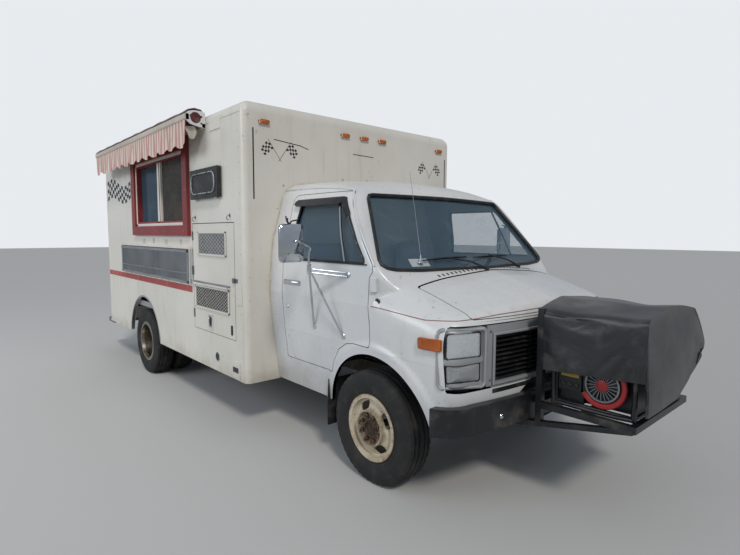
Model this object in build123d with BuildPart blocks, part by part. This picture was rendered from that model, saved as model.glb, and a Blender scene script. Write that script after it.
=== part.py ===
from build123d import *
import os

os.makedirs("parts", exist_ok=True)

# Frame: +X to the front, +Y to the driver's side, +Z up, ground at zero
wheelbase = 3708.0
front_axle_x = 1995.0
rear_axle_x = front_axle_x - wheelbase

# Clearances
seat_gap = 0.5
pin_gap = 1.0
pin_seat = 0.3
move_gap = 6.0

# Wheels and tyres
tyre_radius = 378.0
axle_z = tyre_radius
tyre_half = 105.0
rim_radius = 222.0
rim_seat = 206.0
front_tyre_y = 885.0
dual_outer_y = 1117.5
dual_inner_y = 867.5
kingpin_y = 748.0
spindle_radius = 24.0

# Box body
box_front_x = front_axle_x - 1202.0
box_rear_x = front_axle_x - 5173.0
box_half = 1226.0
box_wall = 40.0
box_low_z = 437.0
box_top_z = 2681.0
roof_low_z = box_top_z - 91.0
roof_corner = 88.0
end_panel = 50.0
end_corner = 46.0
floor_z = 780.0
floor_thick = 60.0
box_arch_radius = 520.0
box_arch_z = 390.0

# Cab body
cab_wall = 45.0
cab_half = 1009.0
crease_z = 1190.0
sill_z = 450.0
cab_floor_z = 640.0
cab_floor_thick = 30.0
nose_x = front_axle_x + 765.0
hood_rear_x = front_axle_x + 235.0
hood_half = 800.0
hood_low_z = 1160.0
shoulder_x = front_axle_x + 100.0
shoulder_fall = 0.25
firewall_x = front_axle_x + 130.0
arch_radius = 480.0
arch_x = front_axle_x + 25.0
arch_z = 390.0
lip_wide = 26.0
lip_out_y = 1004.0
house_rear_x = front_axle_x - 500.0
house_front_x = front_axle_x + 500.0
house_inner_y = 545.0
house_top_z = 850.0
screen_rise = 520.0
screen_run = -420.0
screen_base_x = front_axle_x + 180.0
screen_bow = 100.0
screen_base_z = 1400.0
glass_thick = 8.0

# Cab doors
door_front_x = front_axle_x + 10.0
door_rear_x = front_axle_x - 1015.0
door_low_z = 665.0
door_top_z = 1944.0
door_gap = 7.0
door_inner_y = 780.0
door_hinge_x = front_axle_x + 48.0
door_hinge_y = 1012.0
hinge_radius = 10.0
hinge_pin = 5.0
hinge_low_z = 1280.0
hinge_high_z = 1370.0
hinge_mid_low = 1306.0
hinge_mid_high = 1344.0

# Chassis rails
rail_inner_y = 380.0
rail_outer_y = 430.0
rail_low_z = 500.0
rail_top_z = 610.0
rail_front_x = front_axle_x + 620.0

# Serving window and counter
window_x0 = front_axle_x - 3930.0
window_x1 = front_axle_x - 2260.0
window_z0 = 1620.0
window_z1 = 2535.0
window_band = 110.0
window_proud = 34.0
counter_x0 = front_axle_x - 4390.0
counter_x1 = front_axle_x - 2252.0
counter_z0 = 1170.0
counter_z1 = 1490.0
counter_thick = 26.0
counter_y = box_half + 8.0
counter_pivot_y = counter_y + counter_thick / 2
counter_pivot_z = counter_z1 - 13.0
counter_pin_radius = 5.0

# Side hatch
hatch_x0 = front_axle_x - 2220.0
hatch_x1 = front_axle_x - 1385.0
hatch_z0 = 765.0
hatch_z1 = 1730.0

# Rear door
rear_door_half = 410.0
rear_door_z0 = 850.0
rear_door_z1 = 2450.0
rear_door_gap = 8.0
rear_hinge_x = box_rear_x - 12.0
rear_hinge_y = rear_door_half + 4.0
rear_hinge_rows = [1000.0, 1650.0, 2300.0]

# Generator cradle ahead of the bumper
cradle_rear_x = front_axle_x + 842.0
cradle_front_x = front_axle_x + 1412.0
cradle_half = 380.0
cradle_tube = 38.0
cradle_base_z = 612.0
cradle_top_z = 1210.0
cover_rear_x = cradle_rear_x + cradle_tube + pin_seat
cover_front_x = front_axle_x + 1452.0
cover_thick = 8.0

# Awning
awning_x0 = front_axle_x - 4850.0
awning_x1 = front_axle_x - 1880.0
awning_out_y = box_half + 184.0


def block(x0, x1, y0, y1, z0, z1, mode=Mode.ADD):
    with Locations(((x0 + x1) / 2, (y0 + y1) / 2, (z0 + z1) / 2)):
        Box(abs(x1 - x0), abs(y1 - y0), abs(z1 - z0), mode=mode)


def rod(start, end, radius, mode=Mode.ADD):
    run = Vector(*end) - Vector(*start)
    with BuildSketch(Plane(origin=start, z_dir=run)) as disc:
        Circle(radius)
    extrude(disc.sketch, amount=run.length, mode=mode)


def bar(start, end, wide, high, mode=Mode.ADD):
    run = Vector(*end) - Vector(*start)
    with BuildSketch(Plane(origin=start, x_dir=(0, 1, 0), z_dir=run)) as section:
        Rectangle(wide, high)
    extrude(section.sketch, amount=run.length, mode=mode)


def cab_hull(inset):
    rear_x = box_front_x - (300.0 if inset else 0.0)
    low_z = sill_z - (200.0 if inset else 0.0)
    skirt_z = sill_z - 250.0
    with BuildPart() as lower:
        with BuildSketch(Plane.XZ):
            with BuildLine():
                Polyline(
                    (rear_x, low_z),
                    (rear_x, 1330.0),
                    (front_axle_x + 20.0, 1392.0),
                    (front_axle_x + 50.0, 1440.0),
                    (front_axle_x + 300.0, 1445.0),
                    (nose_x - 18.0, 1205.0),
                    (nose_x, 1165.0),
                    (nose_x, low_z),
                    close=True,
                )
            make_face()
            if inset:
                offset(amount=-inset, kind=Kind.ARC)
        extrude(amount=1300.0, both=True)
        with BuildSketch(Plane.YZ):
            with BuildLine():
                Polyline(
                    (0.0, skirt_z),
                    (928.0, skirt_z),
                    (928.0, sill_z),
                    (985.0, 893.0),
                    (993.0, 900.0),
                    (cab_half, crease_z),
                    (989.16, 1500.0),
                    (-989.16, 1500.0),
                    (-cab_half, crease_z),
                    (-993.0, 900.0),
                    (-985.0, 893.0),
                    (-928.0, sill_z),
                    (-928.0, skirt_z),
                    (0.0, skirt_z),
                )
            make_face()
            if inset:
                offset(amount=-inset, kind=Kind.ARC)
        extrude(amount=3500.0, both=True, mode=Mode.INTERSECT)
        # Fender shoulders and hood crown, falling towards the nose
        with BuildSketch(Plane.YZ.offset(shoulder_x)):
            with BuildLine():
                Polyline(
                    (0.0, -900.0),
                    (1040.0, -900.0),
                    (1040.0, 1150.0),
                )
                ThreePointArc((1040.0, 1150.0), (975.0, 1290.0), (830.0, 1352.0))
                ThreePointArc((830.0, 1352.0), (430.0, 1398.0), (0.0, 1408.0))
                ThreePointArc((0.0, 1408.0), (-430.0, 1398.0), (-830.0, 1352.0))
                ThreePointArc((-830.0, 1352.0), (-975.0, 1290.0), (-1040.0, 1150.0))
                Polyline(
                    (-1040.0, 1150.0),
                    (-1040.0, -900.0),
                    (0.0, -900.0),
                )
            make_face()
            if inset:
                offset(amount=-inset, kind=Kind.TANGENT)
        extrude(amount=4000.0, dir=(1.0, 0.0, -shoulder_fall), both=True, mode=Mode.INTERSECT)
        with BuildSketch(Plane.XY):
            front_plan(0.0 - inset, rear_x - 100.0)
        extrude(amount=3000.0, mode=Mode.INTERSECT)
    with BuildPart() as upper:
        with BuildSketch(Plane.XZ):
            with BuildLine():
                Polyline(
                    (rear_x, 1000.0),
                    (rear_x, 2105.0),
                    (front_axle_x - 700.0, 2078.0),
                    (front_axle_x - 400.0, 2025.0),
                    (front_axle_x - 225.0, 1955.0),
                    (front_axle_x + 400.0, 1955.0),
                    (front_axle_x + 400.0, 1385.0),
                    (front_axle_x + 130.0, 1385.0),
                    (front_axle_x + 55.0, 1300.0),
                    (front_axle_x + 55.0, 1000.0),
                    close=True,
                )
            make_face()
            if inset:
                offset(amount=-inset, kind=Kind.ARC)
        extrude(amount=1300.0, both=True)
        with BuildSketch(Plane.YZ):
            with BuildLine():
                Polyline(
                    (0.0, 1000.0),
                    (999.0, 1000.0),
                    (cab_half, crease_z),
                    (993.0, 1440.0),
                    (974.0, 1590.0),
                    (915.0, 1800.0),
                    (875.0, 1955.0),
                )
                ThreePointArc((875.0, 1955.0), (835.0, 2018.0), (760.0, 2050.0))
                ThreePointArc((760.0, 2050.0), (400.0, 2092.0), (0.0, 2106.0))
                ThreePointArc((0.0, 2106.0), (-400.0, 2092.0), (-760.0, 2050.0))
                ThreePointArc((-760.0, 2050.0), (-835.0, 2018.0), (-875.0, 1955.0))
                Polyline(
                    (-875.0, 1955.0),
                    (-915.0, 1800.0),
                    (-974.0, 1590.0),
                    (-993.0, 1440.0),
                    (-cab_half, crease_z),
                    (-999.0, 1000.0),
                    (0.0, 1000.0),
                )
            make_face()
            if inset:
                offset(amount=-inset, kind=Kind.ARC)
        extrude(amount=3500.0, both=True, mode=Mode.INTERSECT)
        add(screen_prism(inset, 2600.0), mode=Mode.INTERSECT)
    with BuildPart() as hull:
        add(lower.part)
        add(upper.part)
    return hull.part


def front_plan(grow, rear_x):
    with BuildLine() as outline:
        Polyline((front_axle_x + 540.0, -cab_half - 3.0), (rear_x, -cab_half - 3.0))
        Line((rear_x, -cab_half - 3.0), (rear_x, cab_half + 3.0))
        Polyline((rear_x, cab_half + 3.0), (front_axle_x + 540.0, cab_half + 3.0))
        ThreePointArc(
            (front_axle_x + 540.0, cab_half + 3.0),
            (front_axle_x + 640.0, 955.0),
            (front_axle_x + 677.0, 850.0),
        )
        ThreePointArc((front_axle_x + 677.0, 850.0), (nose_x, 0.0), (front_axle_x + 677.0, -850.0))
        ThreePointArc(
            (front_axle_x + 677.0, -850.0),
            (front_axle_x + 640.0, -955.0),
            (front_axle_x + 540.0, -cab_half - 3.0),
        )
    make_face(outline.edges())
    if grow:
        offset(amount=grow, kind=Kind.ARC)


def screen_prism(inset, depth):
    # Solid behind the bowed, raked surface of the windshield
    base_x = screen_base_x - inset
    shift_x = -screen_run * 0.8
    shift_z = -screen_rise * 0.8
    with BuildPart() as prism:
        with BuildSketch(Plane.XY.offset(screen_base_z + shift_z)):
            with BuildLine():
                ThreePointArc(
                    (base_x - screen_bow + shift_x, -1050.0),
                    (base_x + shift_x, 0.0),
                    (base_x - screen_bow + shift_x, 1050.0),
                )
                Polyline(
                    (base_x - screen_bow + shift_x, 1050.0),
                    (base_x - depth + shift_x, 1050.0),
                    (base_x - depth + shift_x, -1050.0),
                    (base_x - screen_bow + shift_x, -1050.0),
                )
            make_face()
        extrude(amount=1500.0, dir=(screen_run, 0.0, screen_rise))
    return prism.part


# Chassis frame: two rails, cross members, body sills and the fuel tank
sill_rows = [-4950.0, -4400.0, -3050.0, -2500.0, -1950.0, -1400.0]
with BuildPart() as chassis_frame:
    for side in (-1, 1):
        block(box_rear_x + 60.0, rail_front_x, side * rail_inner_y, side * rail_outer_y,
              rail_low_z, rail_top_z)
        block(box_rear_x + 60.0, box_front_x - 60.0, side * rail_inner_y, side * rail_outer_y,
              rail_top_z - 5.0, floor_z)
    for offset_x in (-5060.0, -4300.0, -3050.0, -1900.0, -1150.0, 560.0):
        block(front_axle_x + offset_x - 35.0, front_axle_x + offset_x + 35.0,
              -rail_inner_y - 5.0, rail_inner_y + 5.0, rail_low_z + 20.0, rail_top_z - 20.0)
    for offset_x in sill_rows:
        block(front_axle_x + offset_x - 30.0, front_axle_x + offset_x + 30.0,
              -1150.0, 1150.0, floor_z - 70.0, floor_z)
    block(front_axle_x - 2900.0, front_axle_x - 2050.0, 470.0, 930.0, 450.0, 715.0)
    block(front_axle_x - 2760.0, front_axle_x - 2700.0, 425.0, 475.0, 520.0, 620.0)
    block(front_axle_x - 2260.0, front_axle_x - 2200.0, 425.0, 475.0, 520.0, 620.0)
chassis_frame.part.label = "chassis_frame"
export_step(chassis_frame.part, "parts/chassis_frame.step")

# Front suspension beam with an upper and a lower arm on each side
arm_low_z = 262.0
arm_high_z = 470.0
arm_thick = 24.0
knuckle_low_z = arm_low_z + arm_thick + move_gap
knuckle_high_z = arm_high_z - move_gap
with BuildPart() as front_axle:
    block(front_axle_x - 70.0, front_axle_x + 70.0, -rail_outer_y, rail_outer_y,
          rail_low_z - 130.0, rail_low_z)
    block(front_axle_x - 55.0, front_axle_x + 55.0, -430.0, 430.0, arm_low_z, rail_low_z - 120.0)
    for side in (-1, 1):
        for arm_z in (arm_low_z, arm_high_z):
            block(front_axle_x - 45.0, front_axle_x + 45.0, side * 400.0, side * (kingpin_y - 8.0),
                  arm_z, arm_z + arm_thick)
            with BuildSketch(Plane.XY.offset(arm_z)):
                with Locations((front_axle_x, side * kingpin_y)):
                    Circle(36.0)
            extrude(amount=arm_thick)
            with BuildSketch(Plane.XY.offset(arm_z)):
                with Locations((front_axle_x, side * kingpin_y)):
                    Circle(11.0 + pin_gap)
            extrude(amount=arm_thick, mode=Mode.SUBTRACT)
front_axle.part.label = "front_axle"
export_step(front_axle.part, "parts/front_axle.step")

# Steering knuckle with its pins and stub axle, right then left
spindle_end_y = front_tyre_y + 46.0
with BuildPart() as knuckle_right:
    block(front_axle_x - 34.0, front_axle_x + 34.0, -kingpin_y - 26.0, -kingpin_y + 26.0,
          knuckle_low_z, knuckle_high_z)
    rod((front_axle_x, -kingpin_y, arm_low_z), (front_axle_x, -kingpin_y, arm_high_z + arm_thick), 11.0)
    rod((front_axle_x, -kingpin_y, axle_z), (front_axle_x, -spindle_end_y, axle_z), spindle_radius)
knuckle_right.part.label = "knuckle_right"
export_step(knuckle_right.part, "parts/knuckle_right.step")

with BuildPart() as knuckle_left:
    mirror(knuckle_right.part, about=Plane.XZ)
knuckle_left.part.label = "knuckle_left"
export_step(knuckle_left.part, "parts/knuckle_left.step")


def tyre_profile(centre_y):
    # Half section of one tyre, turned about the axle line
    with BuildLine() as outline:
        Polyline(
            (centre_y - 86.0, rim_seat + seat_gap),
            (centre_y - 86.0, rim_radius + 6.0),
            (centre_y - tyre_half, 285.0),
            (centre_y - tyre_half, 308.0),
            (centre_y - tyre_half + 14.0, 356.0),
            (centre_y - 74.0, tyre_radius - 6.0),
            (centre_y - 50.0, tyre_radius),
            (centre_y + 50.0, tyre_radius),
            (centre_y + 74.0, tyre_radius - 6.0),
            (centre_y + tyre_half - 14.0, 356.0),
            (centre_y + tyre_half, 308.0),
            (centre_y + tyre_half, 285.0),
            (centre_y + 86.0, rim_radius + 6.0),
            (centre_y + 86.0, rim_seat + seat_gap),
            (centre_y + 60.0, rim_seat + seat_gap),
            (centre_y + 60.0, 250.0),
            (centre_y + 40.0, 330.0),
            (centre_y - 40.0, 330.0),
            (centre_y - 60.0, 250.0),
            (centre_y - 60.0, rim_seat + seat_gap),
            close=True,
        )
    make_face(outline.edges())


def wheel_plane(axle_x, side):
    return Plane(origin=(axle_x, 0.0, axle_z), x_dir=(0, side, 0), z_dir=(side, 0, 0))


# Front tyres
with BuildPart() as tyre_front_right:
    with BuildSketch(wheel_plane(front_axle_x, -1)):
        tyre_profile(front_tyre_y)
    revolve(axis=Axis((front_axle_x, 0, axle_z), (0, 1, 0)))
tyre_front_right.part.label = "tyre_front_right"
export_step(tyre_front_right.part, "parts/tyre_front_right.step")

with BuildPart() as tyre_front_left:
    mirror(tyre_front_right.part, about=Plane.XZ)
tyre_front_left.part.label = "tyre_front_left"
export_step(tyre_front_left.part, "parts/tyre_front_left.step")

# Front rim: barrel, convex disc with oval hand holes, hub ring with lug nuts
hand_holes = 4
lug_count = 8
with BuildPart() as rim_front_right:
    with BuildSketch(wheel_plane(front_axle_x, -1)):
        with BuildLine():
            Polyline(
                (front_tyre_y - 86.0, rim_seat),
                (front_tyre_y + 86.5, rim_seat),
                (front_tyre_y + 86.5, rim_radius),
                (front_tyre_y + 92.0, rim_radius),
                (front_tyre_y + 92.0, rim_seat - 10.0),
                (front_tyre_y + 62.0, 190.0),
                (front_tyre_y + 58.0, 176.0),
                (front_tyre_y + 74.0, 150.0),
                (front_tyre_y + 84.0, 121.0),
                (front_tyre_y + 106.0, 119.0),
                (front_tyre_y + 106.0, 109.0),
                (front_tyre_y + 86.0, 106.0),
                (front_tyre_y + 84.0, 62.0),
                (front_tyre_y + 94.0, 60.0),
                (front_tyre_y + 94.0, 40.0),
                (front_tyre_y + 74.0, 38.0),
                (front_tyre_y + 74.0, spindle_radius + pin_gap),
                (front_tyre_y + 20.0, spindle_radius + pin_gap),
                (front_tyre_y + 20.0, 72.0),
                (front_tyre_y + 68.0, 74.0),
                (front_tyre_y + 68.0, 106.0),
                (front_tyre_y + 62.0, 150.0),
                (front_tyre_y + 44.0, 176.0),
                (front_tyre_y + 44.0, 190.0),
                (front_tyre_y - 60.0, 190.0),
                (front_tyre_y - 86.0, 196.0),
                close=True,
            )
        make_face()
    revolve(axis=Axis((front_axle_x, 0, axle_z), (0, 1, 0)))
    with BuildSketch(Plane(origin=(front_axle_x, -front_tyre_y, axle_z), x_dir=(1, 0, 0), z_dir=(0, -1,
                                                                                                 0))):
        with PolarLocations(148.0, hand_holes, start_angle=30.0):
            SlotOverall(104.0, 54.0, rotation=90.0)
    extrude(amount=120.0, mode=Mode.SUBTRACT)
    with BuildSketch(Plane(origin=(front_axle_x, -front_tyre_y - 80.0, axle_z), x_dir=(1, 0, 0),
                           z_dir=(0, -1, 0))):
        with PolarLocations(84.0, lug_count, start_angle=22.5):
            RegularPolygon(12.0, 6)
    extrude(amount=24.0)
rim_front_right.part.label = "rim_front_right"
export_step(rim_front_right.part, "parts/rim_front_right.step")

with BuildPart() as rim_front_left:
    mirror(rim_front_right.part, about=Plane.XZ)
rim_front_left.part.label = "rim_front_left"
export_step(rim_front_left.part, "parts/rim_front_left.step")

# Rear axle: housing, differential, drums and leaf springs
hub_face_y = (dual_outer_y + dual_inner_y) / 2
drum_out_y = 800.0
with BuildPart() as rear_axle:
    rod((rear_axle_x, -drum_out_y, axle_z), (rear_axle_x, drum_out_y, axle_z), 46.0)
    rod((rear_axle_x, -hub_face_y - 20.0, axle_z), (rear_axle_x, hub_face_y + 20.0, axle_z), 30.0)
    rod((rear_axle_x, -80.0, axle_z), (rear_axle_x, 80.0, axle_z), 118.0)
    rod((rear_axle_x, 0.0, axle_z), (rear_axle_x + 260.0, 0.0, axle_z + 10.0), 55.0)
    for side in (-1, 1):
        block(rear_axle_x - 60.0, rear_axle_x + 60.0, side * 465.0, side * 535.0, axle_z + 30.0,
              axle_z + 75.0)
        block(rear_axle_x - 640.0, rear_axle_x + 640.0, side * 470.0, side * 530.0, axle_z + 75.0,
              axle_z + 100.0)
        block(rear_axle_x - 380.0, rear_axle_x + 380.0, side * 470.0, side * 530.0, axle_z + 65.0,
              axle_z + 80.0)
        for end in (-610.0, 610.0):
            block(rear_axle_x + end - 25.0, rear_axle_x + end + 25.0, side * rail_outer_y, side * 530.0,
                  axle_z + 90.0, rail_low_z + 60.0)
rear_axle.part.label = "rear_axle"
export_step(rear_axle.part, "parts/rear_axle.step")

# Rear tyres, two on each side
with BuildPart() as tyre_rear_right_outer:
    with BuildSketch(wheel_plane(rear_axle_x, -1)):
        tyre_profile(dual_outer_y)
    revolve(axis=Axis((rear_axle_x, 0, axle_z), (0, 1, 0)))
tyre_rear_right_outer.part.label = "tyre_rear_right_outer"
export_step(tyre_rear_right_outer.part, "parts/tyre_rear_right_outer.step")

with BuildPart() as tyre_rear_right_inner:
    with BuildSketch(wheel_plane(rear_axle_x, -1)):
        tyre_profile(dual_inner_y)
    revolve(axis=Axis((rear_axle_x, 0, axle_z), (0, 1, 0)))
tyre_rear_right_inner.part.label = "tyre_rear_right_inner"
export_step(tyre_rear_right_inner.part, "parts/tyre_rear_right_inner.step")

with BuildPart() as tyre_rear_left_outer:
    mirror(tyre_rear_right_outer.part, about=Plane.XZ)
tyre_rear_left_outer.part.label = "tyre_rear_left_outer"
export_step(tyre_rear_left_outer.part, "parts/tyre_rear_left_outer.step")

with BuildPart() as tyre_rear_left_inner:
    mirror(tyre_rear_right_inner.part, about=Plane.XZ)
tyre_rear_left_inner.part.label = "tyre_rear_left_inner"
export_step(tyre_rear_left_inner.part, "parts/tyre_rear_left_inner.step")


# Rear rims: two barrels back to back with deep dished discs meeting at the hub
with BuildPart() as rim_rear_right:
    with BuildSketch(wheel_plane(rear_axle_x, -1)):
        with BuildLine():
            Polyline(
                (dual_inner_y - 92.0, rim_radius),
                (dual_inner_y - 86.5, rim_radius),
                (dual_inner_y - 86.5, rim_seat),
                (dual_inner_y + 86.0, rim_seat),
                (dual_inner_y + 86.0, 190.0),
                (hub_face_y - 16.0, 165.0),
                (hub_face_y - 2.0, 130.0),
                (hub_face_y + 2.0, 130.0),
                (hub_face_y + 16.0, 165.0),
                (dual_outer_y - 86.0, 190.0),
                (dual_outer_y - 86.0, rim_seat),
                (dual_outer_y + 86.5, rim_seat),
                (dual_outer_y + 86.5, rim_radius),
                (dual_outer_y + 92.0, rim_radius),
                (dual_outer_y + 92.0, rim_seat - 10.0),
                (dual_outer_y + 60.0, 190.0),
                (dual_outer_y - 80.0, 182.0),
                (hub_face_y + 26.0, 155.0),
                (hub_face_y + 12.0, 120.0),
                (hub_face_y + 12.0, 78.0),
                (hub_face_y + 110.0, 70.0),
                (hub_face_y + 118.0, 58.0),
                (hub_face_y + 118.0, 0.0),
                (hub_face_y + 26.0, 0.0),
                (hub_face_y + 26.0, 30.0 + pin_gap),
                (hub_face_y - 120.0, 30.0 + pin_gap),
                (hub_face_y - 120.0, 70.0),
                (hub_face_y - 12.0, 78.0),
                (hub_face_y - 12.0, 120.0),
                (hub_face_y - 26.0, 155.0),
                (dual_inner_y + 80.0, 182.0),
                (dual_inner_y - 60.0, 190.0),
                (dual_inner_y - 92.0, rim_seat - 10.0),
                close=True,
            )
        make_face()
    revolve(axis=Axis((rear_axle_x, 0, axle_z), (0, 1, 0)))
    with BuildSketch(Plane(origin=(rear_axle_x, -hub_face_y - 10.0, axle_z), x_dir=(1, 0, 0),
                           z_dir=(0, -1, 0))):
        with PolarLocations(100.0, lug_count, start_angle=22.5):
            RegularPolygon(12.0, 6)
    extrude(amount=26.0)
rim_rear_right.part.label = "rim_rear_right"
export_step(rim_rear_right.part, "parts/rim_rear_right.step")

with BuildPart() as rim_rear_left:
    mirror(rim_rear_right.part, about=Plane.XZ)
rim_rear_left.part.label = "rim_rear_left"
export_step(rim_rear_left.part, "parts/rim_rear_left.step")

# Engine as one plain block with its gearbox
with BuildPart() as engine_block:
    block(front_axle_x - 330.0, front_axle_x + 400.0, -260.0, 260.0, rail_low_z, 1010.0)
    block(front_axle_x - 1000.0, front_axle_x - 320.0, -130.0, 130.0, rail_low_z - 60.0, 700.0 - 100.0)
engine_block.part.label = "engine_block"
export_step(engine_block.part, "parts/engine_block.step")

# Exhaust pipe with its silencer
pipe_y = -290.0
pipe_z = 462.0
with BuildPart() as exhaust:
    rod((front_axle_x - 300.0, pipe_y, pipe_z), (box_rear_x + 120.0, pipe_y, pipe_z), 25.0)
    rod((front_axle_x - 2450.0, pipe_y + 20.0, pipe_z - 60.0),
        (front_axle_x - 1850.0, pipe_y + 20.0, pipe_z - 60.0), 85.0)
    rod((box_rear_x + 60.0, pipe_y, pipe_z), (box_rear_x + 320.0, pipe_y, pipe_z), 20.0, mode=Mode.SUBTRACT)
    for hanger_x in (-1050.0, -3180.0, -4700.0):
        block(front_axle_x + hanger_x - 12.0, front_axle_x + hanger_x + 12.0, -rail_inner_y, pipe_y + 6.0,
              pipe_z + 8.0, rail_low_z + 70.0)
exhaust.part.label = "exhaust"
export_step(exhaust.part, "parts/exhaust.step")

# Cab shells used by the cab, hood, doors and grille
outer_hull = cab_hull(0.0)
inner_hull = cab_hull(cab_wall)
with BuildPart() as shell:
    add(outer_hull)
    add(inner_hull, mode=Mode.SUBTRACT)
    block(box_front_x - 50.0, house_front_x + 150.0, -870.0, 870.0, 0.0, cab_floor_z, mode=Mode.SUBTRACT)


def door_outline(gap):
    # Door edge seen from the side, grown by the gap
    with BuildLine() as outline:
        Polyline(
            (door_front_x + gap, 915.0 - gap),
            (door_front_x + gap, 1370.0),
            (front_axle_x + 34.0 + gap, 1400.0),
            (front_axle_x + 34.0 + gap, 1440.0),
            (front_axle_x - 54.0 + gap, 1555.0),
            (front_axle_x - 152.0 + gap, 1683.0),
            (front_axle_x - 270.0 + gap, 1838.0),
            (front_axle_x - 343.0 + gap, door_top_z + gap),
            (door_rear_x + 60.0 - gap, door_top_z + gap),
            (door_rear_x - gap, door_top_z - 60.0),
            (door_rear_x - gap, door_low_z - gap),
            (front_axle_x - 410.0 + gap, door_low_z - gap),
            (front_axle_x - 385.0 + gap, 760.0 - gap),
            (front_axle_x - 330.0 + gap, 845.0 - gap),
            (front_axle_x - 240.0 + gap, 900.0 - gap),
            (front_axle_x - 150.0 + gap, 915.0 - gap),
            close=True,
        )
    make_face(outline.edges())


glass_points = [
    (front_axle_x - 925.0, 1455.0),
    (front_axle_x - 42.0, 1455.0),
    (front_axle_x - 368.0, 1872.0),
    (front_axle_x - 865.0, 1872.0),
    (front_axle_x - 895.0, 1840.0),
]
screen_top_half = 770.0
screen_low_half = 950.0
screen_top_z = 1915.0
screen_low_z = 1408.0


def screen_outline(shrink):
    with BuildLine() as outline:
        Polyline(
            (-screen_low_half + 300.0, screen_low_z),
            (screen_low_half - 300.0, screen_low_z),
            (screen_low_half - 40.0, screen_low_z + 20.0),
            (screen_low_half - 8.0, screen_low_z + 55.0),
            (screen_top_half, screen_top_z - 40.0),
            (screen_top_half - 40.0, screen_top_z),
            (-screen_top_half + 40.0, screen_top_z),
            (-screen_top_half, screen_top_z - 40.0),
            (-screen_low_half + 8.0, screen_low_z + 55.0),
            (-screen_low_half + 40.0, screen_low_z + 20.0),
            close=True,
        )
    make_face(outline.edges())
    if shrink:
        offset(amount=-shrink, kind=Kind.ARC)


# Hood skin and the gutter below its edges
hood_thick = 25.0
gutter_wide = 26.0
with BuildPart() as hood_shell:
    add(outer_hull)
    add(cab_hull(hood_thick), mode=Mode.SUBTRACT)
with BuildPart() as hood_pocket:
    block(hood_rear_x - move_gap, front_axle_x + 900.0, -hood_half - move_gap, hood_half + move_gap,
          hood_low_z - move_gap, 1500.0)
    add(cab_hull(hood_thick + pin_seat), mode=Mode.SUBTRACT)

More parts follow.
